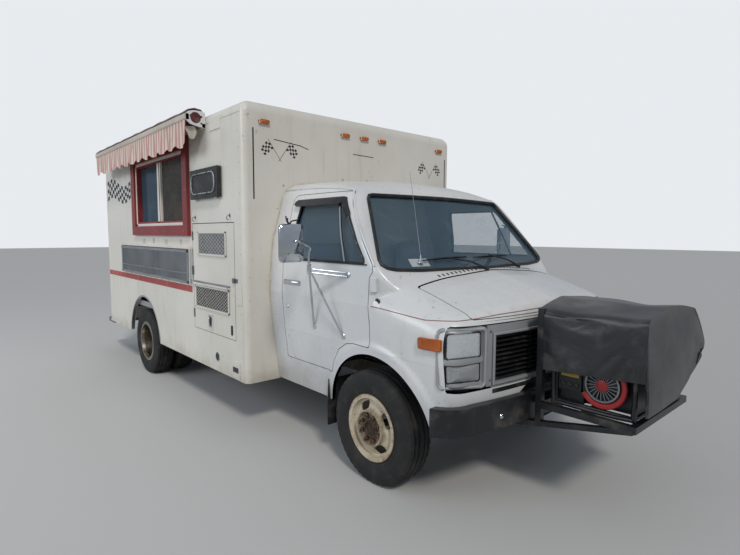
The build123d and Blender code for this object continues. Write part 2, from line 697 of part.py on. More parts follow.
# Cab body: roof, pillars, fenders, cowl, floor, firewall and wheel houses
grille_low_z = 750.0
grille_high_z = 1132.0
grille_rear_x = front_axle_x + 600.0
with BuildPart() as cab_body:
    add(shell.part)
    # Door hinge knuckles and pins
    for side in (-1, 1):
        for low_z, high_z in ((hinge_low_z, hinge_mid_low - 0.5), (hinge_mid_high + 0.5, hinge_high_z)):
            with BuildSketch(Plane.XY.offset(low_z)):
                with Locations((door_hinge_x, side * door_hinge_y)):
                    Circle(hinge_radius)
                with Locations((door_hinge_x + 17.0, side * (door_hinge_y - 8.0))):
                    Rectangle(34.0, 20.0)
            extrude(amount=high_z - low_z)
        rod((door_hinge_x, side * door_hinge_y, hinge_low_z + 4.0),
            (door_hinge_x, side * door_hinge_y, hinge_high_z - 4.0), hinge_pin)
    for side in (-1, 1):
        # Flared lip round the wheel arch
        with BuildSketch(Plane.XZ.offset(-side * 950.0)):
            with Locations((arch_x, arch_z)):
                Circle(arch_radius + lip_wide)
                Circle(arch_radius - 20.0, mode=Mode.SUBTRACT)
            with Locations((arch_x, arch_z - 560.0)):
                Rectangle(1200.0, 1260.0, mode=Mode.SUBTRACT)
        extrude(amount=-side * (lip_out_y - 950.0))
        # Side marker lamp
        block(front_axle_x + 446.0, front_axle_x + 592.0, side * 970.0, side * 1008.0, 994.0, 1057.0)
        # Drip rail above the door
        bar((box_front_x + 4.0, side * 868.0, 1996.0), (front_axle_x - 360.0, side * 880.0, 1952.0),
            16.0, 12.0)
    # Floor, firewall and the boxes over the front wheels
    block(box_front_x, house_rear_x, -880.0, 880.0, cab_floor_z - cab_floor_thick, cab_floor_z)
    for side in (-1, 1):
        block(house_rear_x - 20.0, house_rear_x, side * 340.0, side * 945.0, cab_floor_z - 30.0,
              house_top_z + 20.0)
        block(house_rear_x - 20.0, house_front_x, side * (house_inner_y - 20.0), side * 960.0,
              house_top_z, house_top_z + 20.0)
        block(house_rear_x - 20.0, house_front_x, side * (house_inner_y - 20.0), side * house_inner_y,
              cab_floor_z - 30.0, house_top_z + 20.0)
        block(house_front_x - 20.0, house_front_x, side * (house_inner_y - 20.0), side * 960.0,
              cab_floor_z - 30.0, house_top_z + 20.0)
    for side in (-1, 1):
        block(firewall_x, firewall_x + 24.0, side * (house_inner_y - 20.0), side * 960.0, house_top_z,
              1330.0)
    block(firewall_x, firewall_x + 24.0, -house_inner_y, house_inner_y, 1020.0, 1330.0)
    # Hood opening with a gutter left below its edges
    add(hood_pocket.part, mode=Mode.SUBTRACT)
    block(hood_rear_x + gutter_wide, front_axle_x + 690.0, -hood_half + gutter_wide,
          hood_half - gutter_wide,
          hood_low_z - move_gap, 1500.0, mode=Mode.SUBTRACT)
    # Grille opening
    block(grille_rear_x, front_axle_x + 900.0, -1100.0, 1100.0, grille_low_z, grille_high_z,
          mode=Mode.SUBTRACT)
    # Lower front edge behind the bumper
    block(front_axle_x + 520.0, front_axle_x + 900.0, -1100.0, 1100.0, 0.0, 560.0, mode=Mode.SUBTRACT)
    # Door openings
    for side in (-1, 1):
        with BuildSketch(Plane.XZ.offset(-side * (door_inner_y - door_gap))):
            door_outline(door_gap)
        extrude(amount=-side * 500.0, mode=Mode.SUBTRACT)
    # Wheel arches
    with BuildSketch(Plane.XZ.offset(house_inner_y)):
        with Locations((arch_x, arch_z)):
            Circle(arch_radius)
    extrude(amount=700.0, mode=Mode.SUBTRACT)
    with BuildSketch(Plane.XZ.offset(-house_inner_y)):
        with Locations((arch_x, arch_z)):
            Circle(arch_radius)
    extrude(amount=-700.0, mode=Mode.SUBTRACT)
    # Windshield opening
    with BuildSketch(Plane.YZ.offset(front_axle_x - 500.0)):
        screen_outline(0.0)
    extrude(amount=1000.0, mode=Mode.SUBTRACT)
cab_body.part.label = "cab_body"
export_step(cab_body.part, "parts/cab_body.step")

# Windshield: a bowed and raked sheet
with BuildPart() as windshield:
    add(screen_prism(12.0, 2400.0))
    add(screen_prism(12.0 + glass_thick, 2600.0), mode=Mode.SUBTRACT)
    with BuildSketch(Plane.YZ.offset(front_axle_x - 500.0)):
        screen_outline(seat_gap)
    extrude(amount=1000.0, mode=Mode.INTERSECT)
windshield.part.label = "windshield"
export_step(windshield.part, "parts/windshield.step")

# Hood
with BuildPart() as hood:
    add(hood_shell.part)
    block(hood_rear_x, front_axle_x + 900.0, -hood_half, hood_half, hood_low_z, 1500.0, mode=Mode.INTERSECT)
hood.part.label = "hood"
export_step(hood.part, "parts/hood.step")

# Cab doors with their mirrors on stays
mirror_x = front_axle_x - 500.0
mirror_y = -1250.0
mirror_z = 1580.0
stay_x = mirror_x + 28.0
stay_y = -1125.0
stay_top_z = mirror_z - 45.0
knot_z = 1400.0
# Feet of the mirror stays on the door: place along the truck, height, tube radius
stay_feet = [
    (front_axle_x - 596.0, 972.0, 8.0),
    (front_axle_x - 261.0, 948.0, 7.5),
    (front_axle_x - 200.0, 1372.0, 9.5),
]
with BuildPart() as door_right:
    with BuildSketch(Plane.XZ.offset(door_inner_y)):
        door_outline(0.0)
    extrude(amount=500.0)
    add(shell.part, mode=Mode.INTERSECT)
    with BuildSketch(Plane.XY):
        with Locations((door_hinge_x, -door_hinge_y)):
            Circle(door_hinge_x - door_rear_x)
    extrude(amount=2500.0, mode=Mode.INTERSECT)
    with BuildSketch(Plane.XZ.offset(700.0)):
        with BuildLine():
            Polyline(*glass_points, close=True)
        make_face()
    extrude(amount=500.0, mode=Mode.SUBTRACT)
    # Mirror head and its arms
    with BuildSketch(Plane.YZ.offset(mirror_x - 16.0)):
        with Locations((mirror_y, mirror_z)):
            RectangleRounded(196.0, 266.0, 34.0)
    extrude(amount=32.0)
    rod((mirror_x, mirror_y, stay_top_z), (stay_x, stay_y, stay_top_z), 9.0)
    rod((mirror_x, mirror_y + 10.0, mirror_z + 128.0), (mirror_x, mirror_y + 10.0, mirror_z + 172.0), 7.0)
    rod((mirror_x - 6.0, mirror_y - 22.0, mirror_z + 210.0), (mirror_x, mirror_y + 24.0,
                                                              mirror_z + 158.0), 6.0)
    # Outside handle
    block(front_axle_x - 985.0, front_axle_x - 775.0, -1034.0, -1020.0, 1262.0, 1288.0)
    for foot_x in (-970.0, -790.0):
        block(front_axle_x + foot_x - 14.0, front_axle_x + foot_x + 14.0, -1026.0, -990.0, 1262.0, 1288.0)
    with Locations((stay_x, stay_y, stay_top_z)):
        Sphere(12.0)
    rod((stay_x, stay_y, stay_top_z), (stay_x, stay_y, knot_z), 8.5)
    block(stay_x - 17.0, stay_x + 17.0, stay_y - 15.0, stay_y + 15.0, knot_z - 24.0, knot_z + 20.0)
    for foot_x, foot_z, foot_radius in stay_feet:
        rod((stay_x, stay_y, knot_z), (foot_x, -984.0, foot_z), foot_radius)
    # Upper hinge knuckle on the door
    with BuildSketch(Plane.XY.offset(hinge_mid_low)):
        with Locations((door_hinge_x, -door_hinge_y)):
            Circle(hinge_radius)
        with Locations(((door_hinge_x + door_front_x - 30.0) / 2, -door_hinge_y - 1.0)):
            Rectangle(door_hinge_x - door_front_x + 30.0, 10.0)
        with Locations((door_front_x - 18.0, -door_hinge_y + 8.0)):
            Rectangle(24.0, 26.0)
    extrude(amount=hinge_mid_high - hinge_mid_low)
    rod((door_hinge_x, -door_hinge_y, hinge_low_z), (door_hinge_x, -door_hinge_y, hinge_high_z),
        hinge_pin + pin_seat, mode=Mode.SUBTRACT)
door_right.part.label = "door_right"
export_step(door_right.part, "parts/door_right.step")

with BuildPart() as door_left:
    mirror(door_right.part, about=Plane.XZ)
door_left.part.label = "door_left"
export_step(door_left.part, "parts/door_left.step")

# Door glass, a thin sheet inside the door frame
with BuildPart() as glass_shell:
    add(cab_hull(18.0))
    add(cab_hull(18.0 + glass_thick), mode=Mode.SUBTRACT)
with BuildPart() as door_glass_right:
    with BuildSketch(Plane.XZ.offset(700.0)):
        with BuildLine():
            Polyline(*glass_points, close=True)
        make_face()
        offset(amount=-seat_gap, kind=Kind.INTERSECTION)
    extrude(amount=500.0)
    add(glass_shell.part, mode=Mode.INTERSECT)
door_glass_right.part.label = "door_glass_right"
export_step(door_glass_right.part, "parts/door_glass_right.step")

with BuildPart() as door_glass_left:
    mirror(door_glass_right.part, about=Plane.XZ)
door_glass_left.part.label = "door_glass_left"
export_step(door_glass_left.part, "parts/door_glass_left.step")

# Grille with headlamps and turn lamps
slat_count = 9
lamp_x = front_axle_x + 655.0
lamp_y = 857.0
lamp_turn = 17.0
# Lamps of each side: low edge, high edge, depth of the lens
lamp_table = [
    (945.0, 1095.0, 30.0),
    (806.0, 914.0, 30.0),
]
with BuildPart() as grille:
    add(shell.part)
    block(grille_rear_x + seat_gap, front_axle_x + 900.0, -1100.0, 1100.0, grille_low_z + seat_gap,
          grille_high_z - seat_gap, mode=Mode.INTERSECT)
    for side in (-1, 1):
        block(front_axle_x + 500.0, front_axle_x + 900.0, side * 240.0, side * 625.0, 780.0, 1070.0,
              mode=Mode.SUBTRACT)
        for slat in range(slat_count):
            slat_z = 796.0 + slat * (258.0 / (slat_count - 1))
            block(front_axle_x + 700.0, front_axle_x + 718.0, side * 235.0, side * 630.0, slat_z - 7.0,
                  slat_z + 7.0)
        # Pockets with the headlamp above and the turn lamp below
        for low_z, high_z, deep in lamp_table:
            with Locations(Location((lamp_x + 40.0, side * lamp_y, (low_z + high_z) / 2), (0, 0,
                -side * lamp_turn))):
                Box(80.0, 206.0, high_z - low_z, mode=Mode.SUBTRACT)
            with Locations(Location((lamp_x - deep / 2, side * lamp_y, (low_z + high_z) / 2), (0, 0,
                -side * lamp_turn))):
                Box(deep + 14.0, 196.0, high_z - low_z - 10.0)
grille.part.label = "grille"
export_step(grille.part, "parts/grille.step")

# Front bumper with its brackets
bumper_low_z = 530.0
bumper_high_z = 690.0
with BuildPart() as front_bumper:
    with BuildSketch(Plane.XY.offset(bumper_low_z)):
        front_plan(66.0, front_axle_x)
    extrude(amount=bumper_high_z - bumper_low_z)
    with BuildSketch(Plane.XY.offset(bumper_low_z)):
        front_plan(16.0, front_axle_x - 200.0)
    extrude(amount=bumper_high_z - bumper_low_z, mode=Mode.SUBTRACT)
    block(front_axle_x + 590.0, front_axle_x + 1000.0, -1200.0, 1200.0, 0.0, 900.0, mode=Mode.INTERSECT)
    for side in (-1, 1):
        block(front_axle_x + 500.0, front_axle_x + 775.0, side * rail_outer_y, side * (rail_outer_y + 20.0),
              505.0, 555.0)
front_bumper.part.label = "front_bumper"
export_step(front_bumper.part, "parts/front_bumper.step")

# Generator cradle of square tube
with BuildPart() as generator_frame:
    half = cradle_tube / 2
    for side in (-1, 1):
        y0 = side * cradle_half - half
        y1 = side * cradle_half + half
        block(cradle_rear_x, cradle_rear_x + cradle_tube, y0, y1, cradle_base_z - 90.0, cradle_top_z)
        block(cradle_rear_x, cradle_front_x, y0, y1, cradle_base_z, cradle_base_z + cradle_tube)
        bar((rail_front_x + 16.0, side * cradle_half, 468.0), (cradle_front_x - 19.0,
                                                               side * cradle_half, 618.0),
            cradle_tube, 30.0)
        block(rail_front_x, rail_front_x + 18.0, side * 362.0, side * rail_outer_y, 452.0, 640.0)
    block(cradle_rear_x, cradle_rear_x + cradle_tube, -cradle_half, cradle_half,
          cradle_top_z - cradle_tube, cradle_top_z)
    block(cradle_rear_x, cradle_rear_x + cradle_tube, -cradle_half, cradle_half,
          cradle_base_z, cradle_base_z + cradle_tube)
    block(cradle_front_x - cradle_tube, cradle_front_x, -cradle_half, cradle_half,
          cradle_base_z, cradle_base_z + cradle_tube)
    block(cradle_rear_x + 260.0, cradle_rear_x + 300.0, -cradle_half, cradle_half,
          cradle_base_z, cradle_base_z + cradle_tube)
generator_frame.part.label = "generator_frame"
export_step(generator_frame.part, "parts/generator_frame.step")

# Generator: engine, alternator, tank and its tube cage
gen_x0 = front_axle_x + 915.0
gen_x1 = front_axle_x + 1385.0
gen_half = 330.0
gen_z0 = cradle_base_z + cradle_tube
recoil_x = front_axle_x + 1202.0
recoil_z = 812.0
fin_count = 18
with BuildPart() as generator:
    block(gen_x0 + 20.0, gen_x0 + 175.0, -gen_half + 25.0, gen_half - 25.0, gen_z0 + 20.0, 1010.0)
    block(gen_x0 + 170.0, gen_x1 - 15.0, -gen_half + 60.0, gen_half - 60.0, gen_z0 + 20.0, 960.0)
    block(gen_x0 + 30.0, gen_x1 - 25.0, -gen_half + 40.0, gen_half - 40.0, 955.0, 1130.0)
    rod((recoil_x, -gen_half + 70.0, recoil_z), (recoil_x, -gen_half + 20.0, recoil_z), 128.0)
    rod((recoil_x, -gen_half + 30.0, recoil_z), (recoil_x, -gen_half + 8.0, recoil_z), 92.0)
    with BuildSketch(Plane.XZ.offset(gen_half - 14.0)):
        with Locations((recoil_x, recoil_z)):
            with PolarLocations(62.0, fin_count):
                Rectangle(42.0, 9.0)
    extrude(amount=20.0, mode=Mode.SUBTRACT)
    block(gen_x0 + 22.0, gen_x0 + 168.0, -gen_half + 10.0, -gen_half + 40.0, 735.0, 885.0)
    rod((gen_x1 - 60.0, 90.0, 870.0), (gen_x1 - 60.0, 260.0, 870.0), 42.0)
    for side in (-1, 1):
        for post_x in (gen_x0 + 14.0, gen_x1 - 14.0):
            rod((post_x, side * (gen_half - 14.0), gen_z0), (post_x, side * (gen_half - 14.0), 1160.0),
                14.0)
        rod((gen_x0 + 14.0, side * (gen_half - 14.0), 1146.0), (gen_x1 - 14.0, side * (gen_half - 14.0),
                                                                1146.0), 12.0)
        rod((gen_x0 + 14.0, side * (gen_half - 14.0), gen_z0 + 14.0),
            (gen_x1 - 14.0, side * (gen_half - 14.0), gen_z0 + 14.0), 12.0)
    for post_x in (gen_x0 + 14.0, gen_x1 - 14.0):
        rod((post_x, -gen_half + 14.0, 1146.0), (post_x, gen_half - 14.0, 1146.0), 11.0)
        rod((post_x, -gen_half + 14.0, gen_z0 + 14.0), (post_x, gen_half - 14.0, gen_z0 + 14.0), 11.0)
    block(gen_x0 + 10.0, gen_x1 - 10.0, -60.0, 60.0, gen_z0, gen_z0 + 30.0)
generator.part.label = "generator"
export_step(generator.part, "parts/generator.step")

# Generator cover: folded sheet, open below
with BuildPart() as generator_cover:
    with BuildSketch(Plane.YZ.offset(cover_rear_x)):
        with BuildLine():
            Polyline(
                (-402.0, 835.0),
                (-402.0, 1205.0),
                (-130.0, 1260.0),
                (330.0, 1215.0),
                (590.0, 960.0),
                (470.0, 835.0),
                close=True,
            )
        make_face()
    extrude(amount=cover_front_x - cover_rear_x)
    with BuildSketch(Plane.YZ.offset(cover_rear_x + cover_thick)):
        with BuildLine():
            Polyline(
                (-394.0, 800.0),
                (-394.0, 1198.0),
                (-130.0, 1252.0),
                (326.0, 1207.0),
                (580.0, 958.0),
                (440.0, 800.0),
                close=True,
            )
        make_face()
    extrude(amount=cover_front_x - cover_rear_x - 2 * cover_thick, mode=Mode.SUBTRACT)
    # Front panel hanging lower than the sides
    block(cover_front_x - cover_thick, cover_front_x, -402.0, 455.0, 690.0, 850.0)
generator_cover.part.label = "generator_cover"
export_step(generator_cover.part, "parts/generator_cover.step")

# Box floor with the work counter standing on it
inner_y = box_half - box_wall
with BuildPart() as box_floor:
    block(box_rear_x + end_panel, box_front_x - end_panel, -inner_y, inner_y, floor_z,
          floor_z + floor_thick)
    block(front_axle_x - 4500.0, front_axle_x - 1500.0, 560.0, inner_y - 4.0, floor_z + floor_thick, 1700.0)
    block(front_axle_x - 4520.0, front_axle_x - 1480.0, 535.0, inner_y - 4.0, 1700.0, 1740.0)
box_floor.part.label = "box_floor"
export_step(box_floor.part, "parts/box_floor.step")

# Box side on the serving side, with window, hatch and wheel openings
cut_in_y = inner_y - 86.0
cut_out_y = box_half + 74.0
side_x0 = box_rear_x + end_panel
side_x1 = box_front_x - end_panel
with BuildPart() as box_side_right:
    block(side_x0, side_x1, -box_half, -inner_y, box_low_z, roof_low_z)
    block(window_x0 + window_band, window_x1 - window_band, -cut_out_y, -cut_in_y,
          window_z0 + window_band - 10.0, window_z1 - window_band, mode=Mode.SUBTRACT)
    block(hatch_x0 - move_gap, hatch_x1 + move_gap, -cut_out_y, -cut_in_y, hatch_z0 - move_gap,
          hatch_z1 + move_gap, mode=Mode.SUBTRACT)
    with BuildSketch(Plane.XZ.offset(cut_in_y)):
        with Locations((rear_axle_x, box_arch_z)):
            Circle(box_arch_radius)
    extrude(amount=200.0, mode=Mode.SUBTRACT)
    with BuildSketch(Plane.XZ.offset(cut_in_y)):
        with Locations((front_axle_x - 1736.0, 566.0)):
            Circle(37.5)
    extrude(amount=200.0, mode=Mode.SUBTRACT)
    # End cheeks and pins that carry the folding counter
    for end_x, way in ((counter_x0, -1.0), (counter_x1, 1.0)):
        block(end_x + way * 6.0, end_x + way * 16.0, -counter_y - counter_thick, -box_half + 5.0,
              counter_z0, counter_z1 + 30.0)
        rod((end_x + way * 10.0, -counter_pivot_y, counter_pivot_z),
            (end_x - way * 26.0, -counter_pivot_y, counter_pivot_z), counter_pin_radius)
    block(counter_x0 - 16.0, counter_x1 + 16.0, -counter_y - counter_thick, -box_half + 5.0,
          counter_z1 + 8.0, counter_z1 + 30.0)
    # Vent housing and access plate ahead of the hatch
    block(front_axle_x - 1440.0, front_axle_x - 1310.0, -box_half - 12.0, -box_half + 5.0, 450.0, 590.0)
    block(front_axle_x - 1345.0, front_axle_x - 1256.0, -box_half - 8.0, -box_half + 5.0, 1070.0, 1230.0)
    # Unlit sign box on its clips
    block(front_axle_x - 2140.0, front_axle_x - 1585.0, -box_half - 44.0, -box_half - 8.0, 1950.0, 2200.0)
    for clip_x in (-2070.0, -1655.0):
        block(front_axle_x + clip_x - 8.0, front_axle_x + clip_x + 8.0, -box_half - 30.0, -box_half + 5.0,
              1935.0, 2215.0)
box_side_right.part.label = "box_side_right"
export_step(box_side_right.part, "parts/box_side_right.step")

with BuildPart() as box_side_left:
    block(side_x0, side_x1, inner_y, box_half, box_low_z, roof_low_z)
    with BuildSketch(Plane.XZ.offset(-cut_in_y)):
        with Locations((rear_axle_x, box_arch_z)):
            Circle(box_arch_radius)
    extrude(amount=-200.0, mode=Mode.SUBTRACT)
box_side_left.part.label = "box_side_left"
export_step(box_side_left.part, "parts/box_side_left.step")

# Box front wall with clearance lamps
lamp_rows = [181.0 - box_half, -225.0, 0.0, 225.0, box_half - 181.0]
lamp_z = roof_low_z - 68.0
with BuildPart() as box_front:
    block(box_front_x - end_panel, box_front_x, -box_half, box_half, box_low_z, roof_low_z)
    fillet(box_front.edges().filter_by(Axis.Z).group_by(Axis.X)[-1], end_corner)
    block(box_front_x - 60.0, box_front_x + 10.0, -880.0, 880.0, 0.0, floor_z, mode=Mode.SUBTRACT)
    for lamp_y in lamp_rows:
        block(box_front_x - 5.0, box_front_x + 22.0, lamp_y - 48.0, lamp_y + 48.0, lamp_z - 15.0,
              lamp_z + 15.0)
box_front.part.label = "box_front"
export_step(box_front.part, "parts/box_front.step")

# Box rear wall with the door opening and lamps
with BuildPart() as box_rear:
    block(box_rear_x, box_rear_x + end_panel, -box_half, box_half, box_low_z, roof_low_z)
    fillet(box_rear.edges().filter_by(Axis.Z).group_by(Axis.X)[0], end_corner)
    block(box_rear_x - 10.0, box_rear_x + 60.0, -rear_door_half - rear_door_gap,
          rear_door_half + rear_door_gap, rear_door_z0 - rear_door_gap, rear_door_z1 + rear_door_gap,
          mode=Mode.SUBTRACT)
    for lamp_y in lamp_rows:
        block(box_rear_x - 22.0, box_rear_x + 5.0, lamp_y - 48.0, lamp_y + 48.0, lamp_z - 15.0,
              lamp_z + 15.0)
    for side in (-1, 1):
        block(box_rear_x - 40.0, box_rear_x + 5.0, side * (box_half - 226.0), side * (box_half - 126.0),
              560.0, 800.0)
    for hinge_z in rear_hinge_rows:
        for low_z in (hinge_z - 60.0, hinge_z + 20.5):
            with BuildSketch(Plane.XY.offset(low_z)):
                with Locations((rear_hinge_x, rear_hinge_y)):
                    Circle(hinge_radius)
                with Locations((rear_hinge_x + 6.0, rear_hinge_y + 22.0)):
                    Rectangle(12.0, 44.0)
            extrude(amount=39.5)
        rod((rear_hinge_x, rear_hinge_y, hinge_z - 56.0), (rear_hinge_x, rear_hinge_y, hinge_z + 56.0),
            hinge_pin)
box_rear.part.label = "box_rear"
export_step(box_rear.part, "parts/box_rear.step")

# Box roof: a shallow tray turned over, with rounded outer edges
with BuildPart() as box_roof:
    block(box_rear_x, box_front_x, -box_half, box_half, roof_low_z, box_top_z)
    fillet(box_roof.edges().filter_by(Axis.Z), end_corner)
    fillet(box_roof.faces().sort_by(Axis.Z)[-1].edges(), roof_corner)
    block(box_rear_x + end_panel, box_front_x - end_panel, -inner_y, inner_y, roof_low_z - 10.0,
          box_top_z - box_wall, mode=Mode.SUBTRACT)
box_roof.part.label = "box_roof"
export_step(box_roof.part, "parts/box_roof.step")

# Rear door
with BuildPart() as rear_door:
    block(box_rear_x, box_rear_x + 44.0, -rear_door_half, rear_door_half, rear_door_z0, rear_door_z1)
    for hinge_z in rear_hinge_rows:
        with BuildSketch(Plane.XY.offset(hinge_z - 20.0)):
            with Locations((rear_hinge_x, rear_hinge_y)):
                Circle(hinge_radius)
            with Locations((rear_hinge_x + 6.0, rear_hinge_y - 22.0)):
                Rectangle(12.0, 44.0)
        extrude(amount=40.0)
        rod((rear_hinge_x, rear_hinge_y, hinge_z - 60.0), (rear_hinge_x, rear_hinge_y, hinge_z + 60.0),
            hinge_pin + pin_seat, mode=Mode.SUBTRACT)
rear_door.part.label = "rear_door"
export_step(rear_door.part, "parts/rear_door.step")

# Serving window: outer frame, slider frame and mullion
slide_x0 = window_x0 + window_band
slide_x1 = window_x1 - window_band
slide_z0 = window_z0 + window_band - 10.0
slide_z1 = window_z1 - window_band
with BuildPart() as serving_window:
    block(window_x0, window_x1, -box_half - window_proud, -box_half, window_z0, window_z1)
    block(slide_x0, slide_x1, -box_half - 100.0, -box_half + 10.0, slide_z0, slide_z1, mode=Mode.SUBTRACT)
    block(slide_x0 + seat_gap, slide_x1 - seat_gap, -box_half - 12.0, -inner_y, slide_z0 + seat_gap,
          slide_z1 - seat_gap)
    block(slide_x0 + 48.0, slide_x1 - 48.0, -box_half - 20.0, -inner_y + 10.0, slide_z0 + 48.0,
          slide_z1 - 48.0, mode=Mode.SUBTRACT)
    block(slide_x0, slide_x0 + 20.0, -box_half - 12.0, -box_half - 2.0, slide_z0, slide_z1)
    block(slide_x1 - 20.0, slide_x1, -box_half - 12.0, -box_half - 2.0, slide_z0, slide_z1)
    mullion_x = front_axle_x - 3080.0
    block(mullion_x - 28.0, mullion_x + 28.0, -box_half - 10.0, -inner_y - 4.0, slide_z0 + 40.0,
          slide_z1 - 40.0)
serving_window.part.label = "serving_window"
export_step(serving_window.part, "parts/serving_window.step")

# Window panes, one sheet behind the mullion
with BuildPart() as window_glass:
    block(slide_x0 + 48.0 + seat_gap, slide_x1 - 48.0 - seat_gap, -inner_y - 4.0 + seat_gap, -inner_y + 2.0,
          slide_z0 + 48.0 + seat_gap, slide_z1 - 48.0 - seat_gap)
window_glass.part.label = "window_glass"
export_step(window_glass.part, "parts/window_glass.step")

# Folding counter, hung by its upper edge on two end pins
with BuildPart() as counter_shelf:
    block(counter_x0, counter_x1, -counter_y - counter_thick, -counter_y, counter_z0, counter_z1)
    for end_x, way in ((counter_x0, 1.0), (counter_x1, -1.0)):
        rod((end_x, -counter_pivot_y, counter_pivot_z), (end_x + way * 32.0, -counter_pivot_y,
                                                         counter_pivot_z),
            counter_pin_radius + pin_gap, mode=Mode.SUBTRACT)
counter_shelf.part.label = "counter_shelf"
export_step(counter_shelf.part, "parts/counter_shelf.step")

# Side hatch with two vents, hung by its upper edge
with BuildPart() as side_hatch:
    block(hatch_x0, hatch_x1, -box_half, -inner_y, hatch_z0, hatch_z1)
    block(front_axle_x - 2170.0, front_axle_x - 1480.0, -box_half - 6.0, -box_half + 2.0, 960.0, 1176.0)
    block(front_axle_x - 2090.0, front_axle_x - 1520.0, -box_half - 6.0, -box_half + 2.0, 1447.0, 1660.0)
    block(front_axle_x - 2178.0, front_axle_x - 1472.0, -box_half - 30.0, -box_half + 2.0, 1180.0, 1196.0)
    block(front_axle_x - 1895.0, front_axle_x - 1805.0, -box_half - 10.0, -box_half + 2.0, 800.0, 930.0)
side_hatch.part.label = "side_hatch"
export_step(side_hatch.part, "parts/side_hatch.step")

# Awning: wall rail, rolled cloth with its shield, front bar and end caps
roll_y = box_half + 86.0
awning_low_z = roof_low_z - 45.0
with BuildPart() as awning:
    block(awning_x0, awning_x1, -box_half - 30.0, -box_half, awning_low_z, roof_low_z - 2.0)
    rod((awning_x0 + 20.0, -roll_y, roof_low_z + 42.0), (awning_x1 - 20.0, -roll_y, roof_low_z + 42.0),
        62.0)
    block(awning_x0, awning_x1, -awning_out_y, -awning_out_y + 40.0, roof_low_z + 16.0, roof_low_z + 78.0)
    for cap_x in (awning_x0, awning_x1 - 20.0):
        block(cap_x, cap_x + 20.0, -awning_out_y + 10.0, -box_half, awning_low_z, box_top_z + 9.0)
awning.part.label = "awning"
export_step(awning.part, "parts/awning.step")

# Awning valance
with BuildPart() as awning_valance:
    block(awning_x0 + 5.0, awning_x1 - 5.0, -awning_out_y + 4.0, -awning_out_y + 10.0,
          roof_low_z - 214.0, roof_low_z + 14.0)
awning_valance.part.label = "awning_valance"
export_step(awning_valance.part, "parts/awning_valance.step")

# Rear step bumper with a tow ball hole
step_x0 = front_axle_x - 5450.0
with BuildPart() as rear_bumper:
    block(step_x0, box_rear_x - 30.0, -900.0, 900.0, 385.0, 445.0)
    for side in (-1, 1):
        block(box_rear_x - 60.0, box_rear_x + 60.0, side * rail_inner_y, side * rail_outer_y, 385.0, 436.0)
        block(box_rear_x + 50.0, box_rear_x + 60.0, side * rail_inner_y, side * rail_outer_y, 385.0,
              rail_top_z)
    with BuildSketch(Plane.XY.offset(300.0)):
        with Locations((step_x0 + 60.0, 0.0)):
            Circle(12.5)
    extrude(amount=300.0, mode=Mode.SUBTRACT)
rear_bumper.part.label = "rear_bumper"
export_step(rear_bumper.part, "parts/rear_bumper.step")

# Seats on one riser
with BuildPart() as seats:
    for side in (-1, 1):
        block(front_axle_x - 1060.0, front_axle_x - 560.0, side * 330.0, side * 830.0, 880.0, 1020.0)
        block(front_axle_x - 1140.0, front_axle_x - 1020.0, side * 330.0, side * 830.0, 900.0, 1560.0)
    block(front_axle_x - 1060.0, front_axle_x - 620.0, -780.0, 780.0, cab_floor_z, 880.0)
seats.part.label = "seats"
export_step(seats.part, "parts/seats.step")

# Dashboard, engine cover and steering wheel
with BuildPart() as dashboard:
    block(front_axle_x - 110.0, firewall_x, -880.0, 880.0, 1080.0, 1278.0)
    block(front_axle_x - 520.0, firewall_x, -310.0, 310.0, 1022.0, 1090.0)
    rod((front_axle_x - 100.0, 480.0, 1180.0), (front_axle_x - 310.0, 480.0, 1330.0), 26.0)
    with BuildSketch(Plane(origin=(front_axle_x - 310.0, 480.0, 1330.0), x_dir=(0, 1, 0),
                           z_dir=(-0.62, 0, 0.785))):
        Circle(200.0)
        Circle(178.0, mode=Mode.SUBTRACT)
        Rectangle(370.0, 30.0)
        Circle(45.0)
    extrude(amount=24.0)
dashboard.part.label = "dashboard"
export_step(dashboard.part, "parts/dashboard.step")
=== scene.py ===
import math

import bmesh
import bpy
import numpy as np
from mathutils import Matrix, Vector


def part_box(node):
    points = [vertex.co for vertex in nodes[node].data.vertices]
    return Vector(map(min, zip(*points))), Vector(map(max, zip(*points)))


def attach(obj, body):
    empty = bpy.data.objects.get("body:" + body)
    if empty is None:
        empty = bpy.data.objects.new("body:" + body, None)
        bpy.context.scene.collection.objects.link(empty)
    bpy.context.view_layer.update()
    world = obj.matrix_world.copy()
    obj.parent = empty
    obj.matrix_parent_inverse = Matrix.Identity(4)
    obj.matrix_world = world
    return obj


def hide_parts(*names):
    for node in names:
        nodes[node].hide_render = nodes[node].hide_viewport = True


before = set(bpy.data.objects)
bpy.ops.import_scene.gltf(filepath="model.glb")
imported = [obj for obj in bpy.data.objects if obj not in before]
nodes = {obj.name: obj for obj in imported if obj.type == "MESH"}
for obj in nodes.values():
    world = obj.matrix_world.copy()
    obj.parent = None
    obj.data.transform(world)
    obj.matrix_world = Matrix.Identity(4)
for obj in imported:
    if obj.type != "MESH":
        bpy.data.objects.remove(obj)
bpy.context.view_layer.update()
scene = bpy.context.scene
rng = np.random.default_rng(11)

FAX = 1.995      # front axle's place along the truck
RAX = -1.713     # rear axle's place
HUB_Z = 0.378    # height of the wheels' centres
BOX_Y = 1.226    # half the width of the box
BOX_FRONT, BOX_BACK = -1.202, -5.173     # the box's ends, measured from the front axle
SIDES = ((-1, "right"), (1, "left"))
ACROSS = (0, 1, 0)
TURN = 2 * math.pi


def fx(x):
    """A place measured from the front axle."""
    return FAX + x


# ---------------------------------------------------------------- colours and materials
def srgb(text):
    parts = [int(text[i:i + 2], 16) / 255 for i in (0, 2, 4)]
    return tuple(c / 12.92 if c < 0.04045 else ((c + 0.055) / 1.055) ** 2.4 for c in parts) + (1.0,)


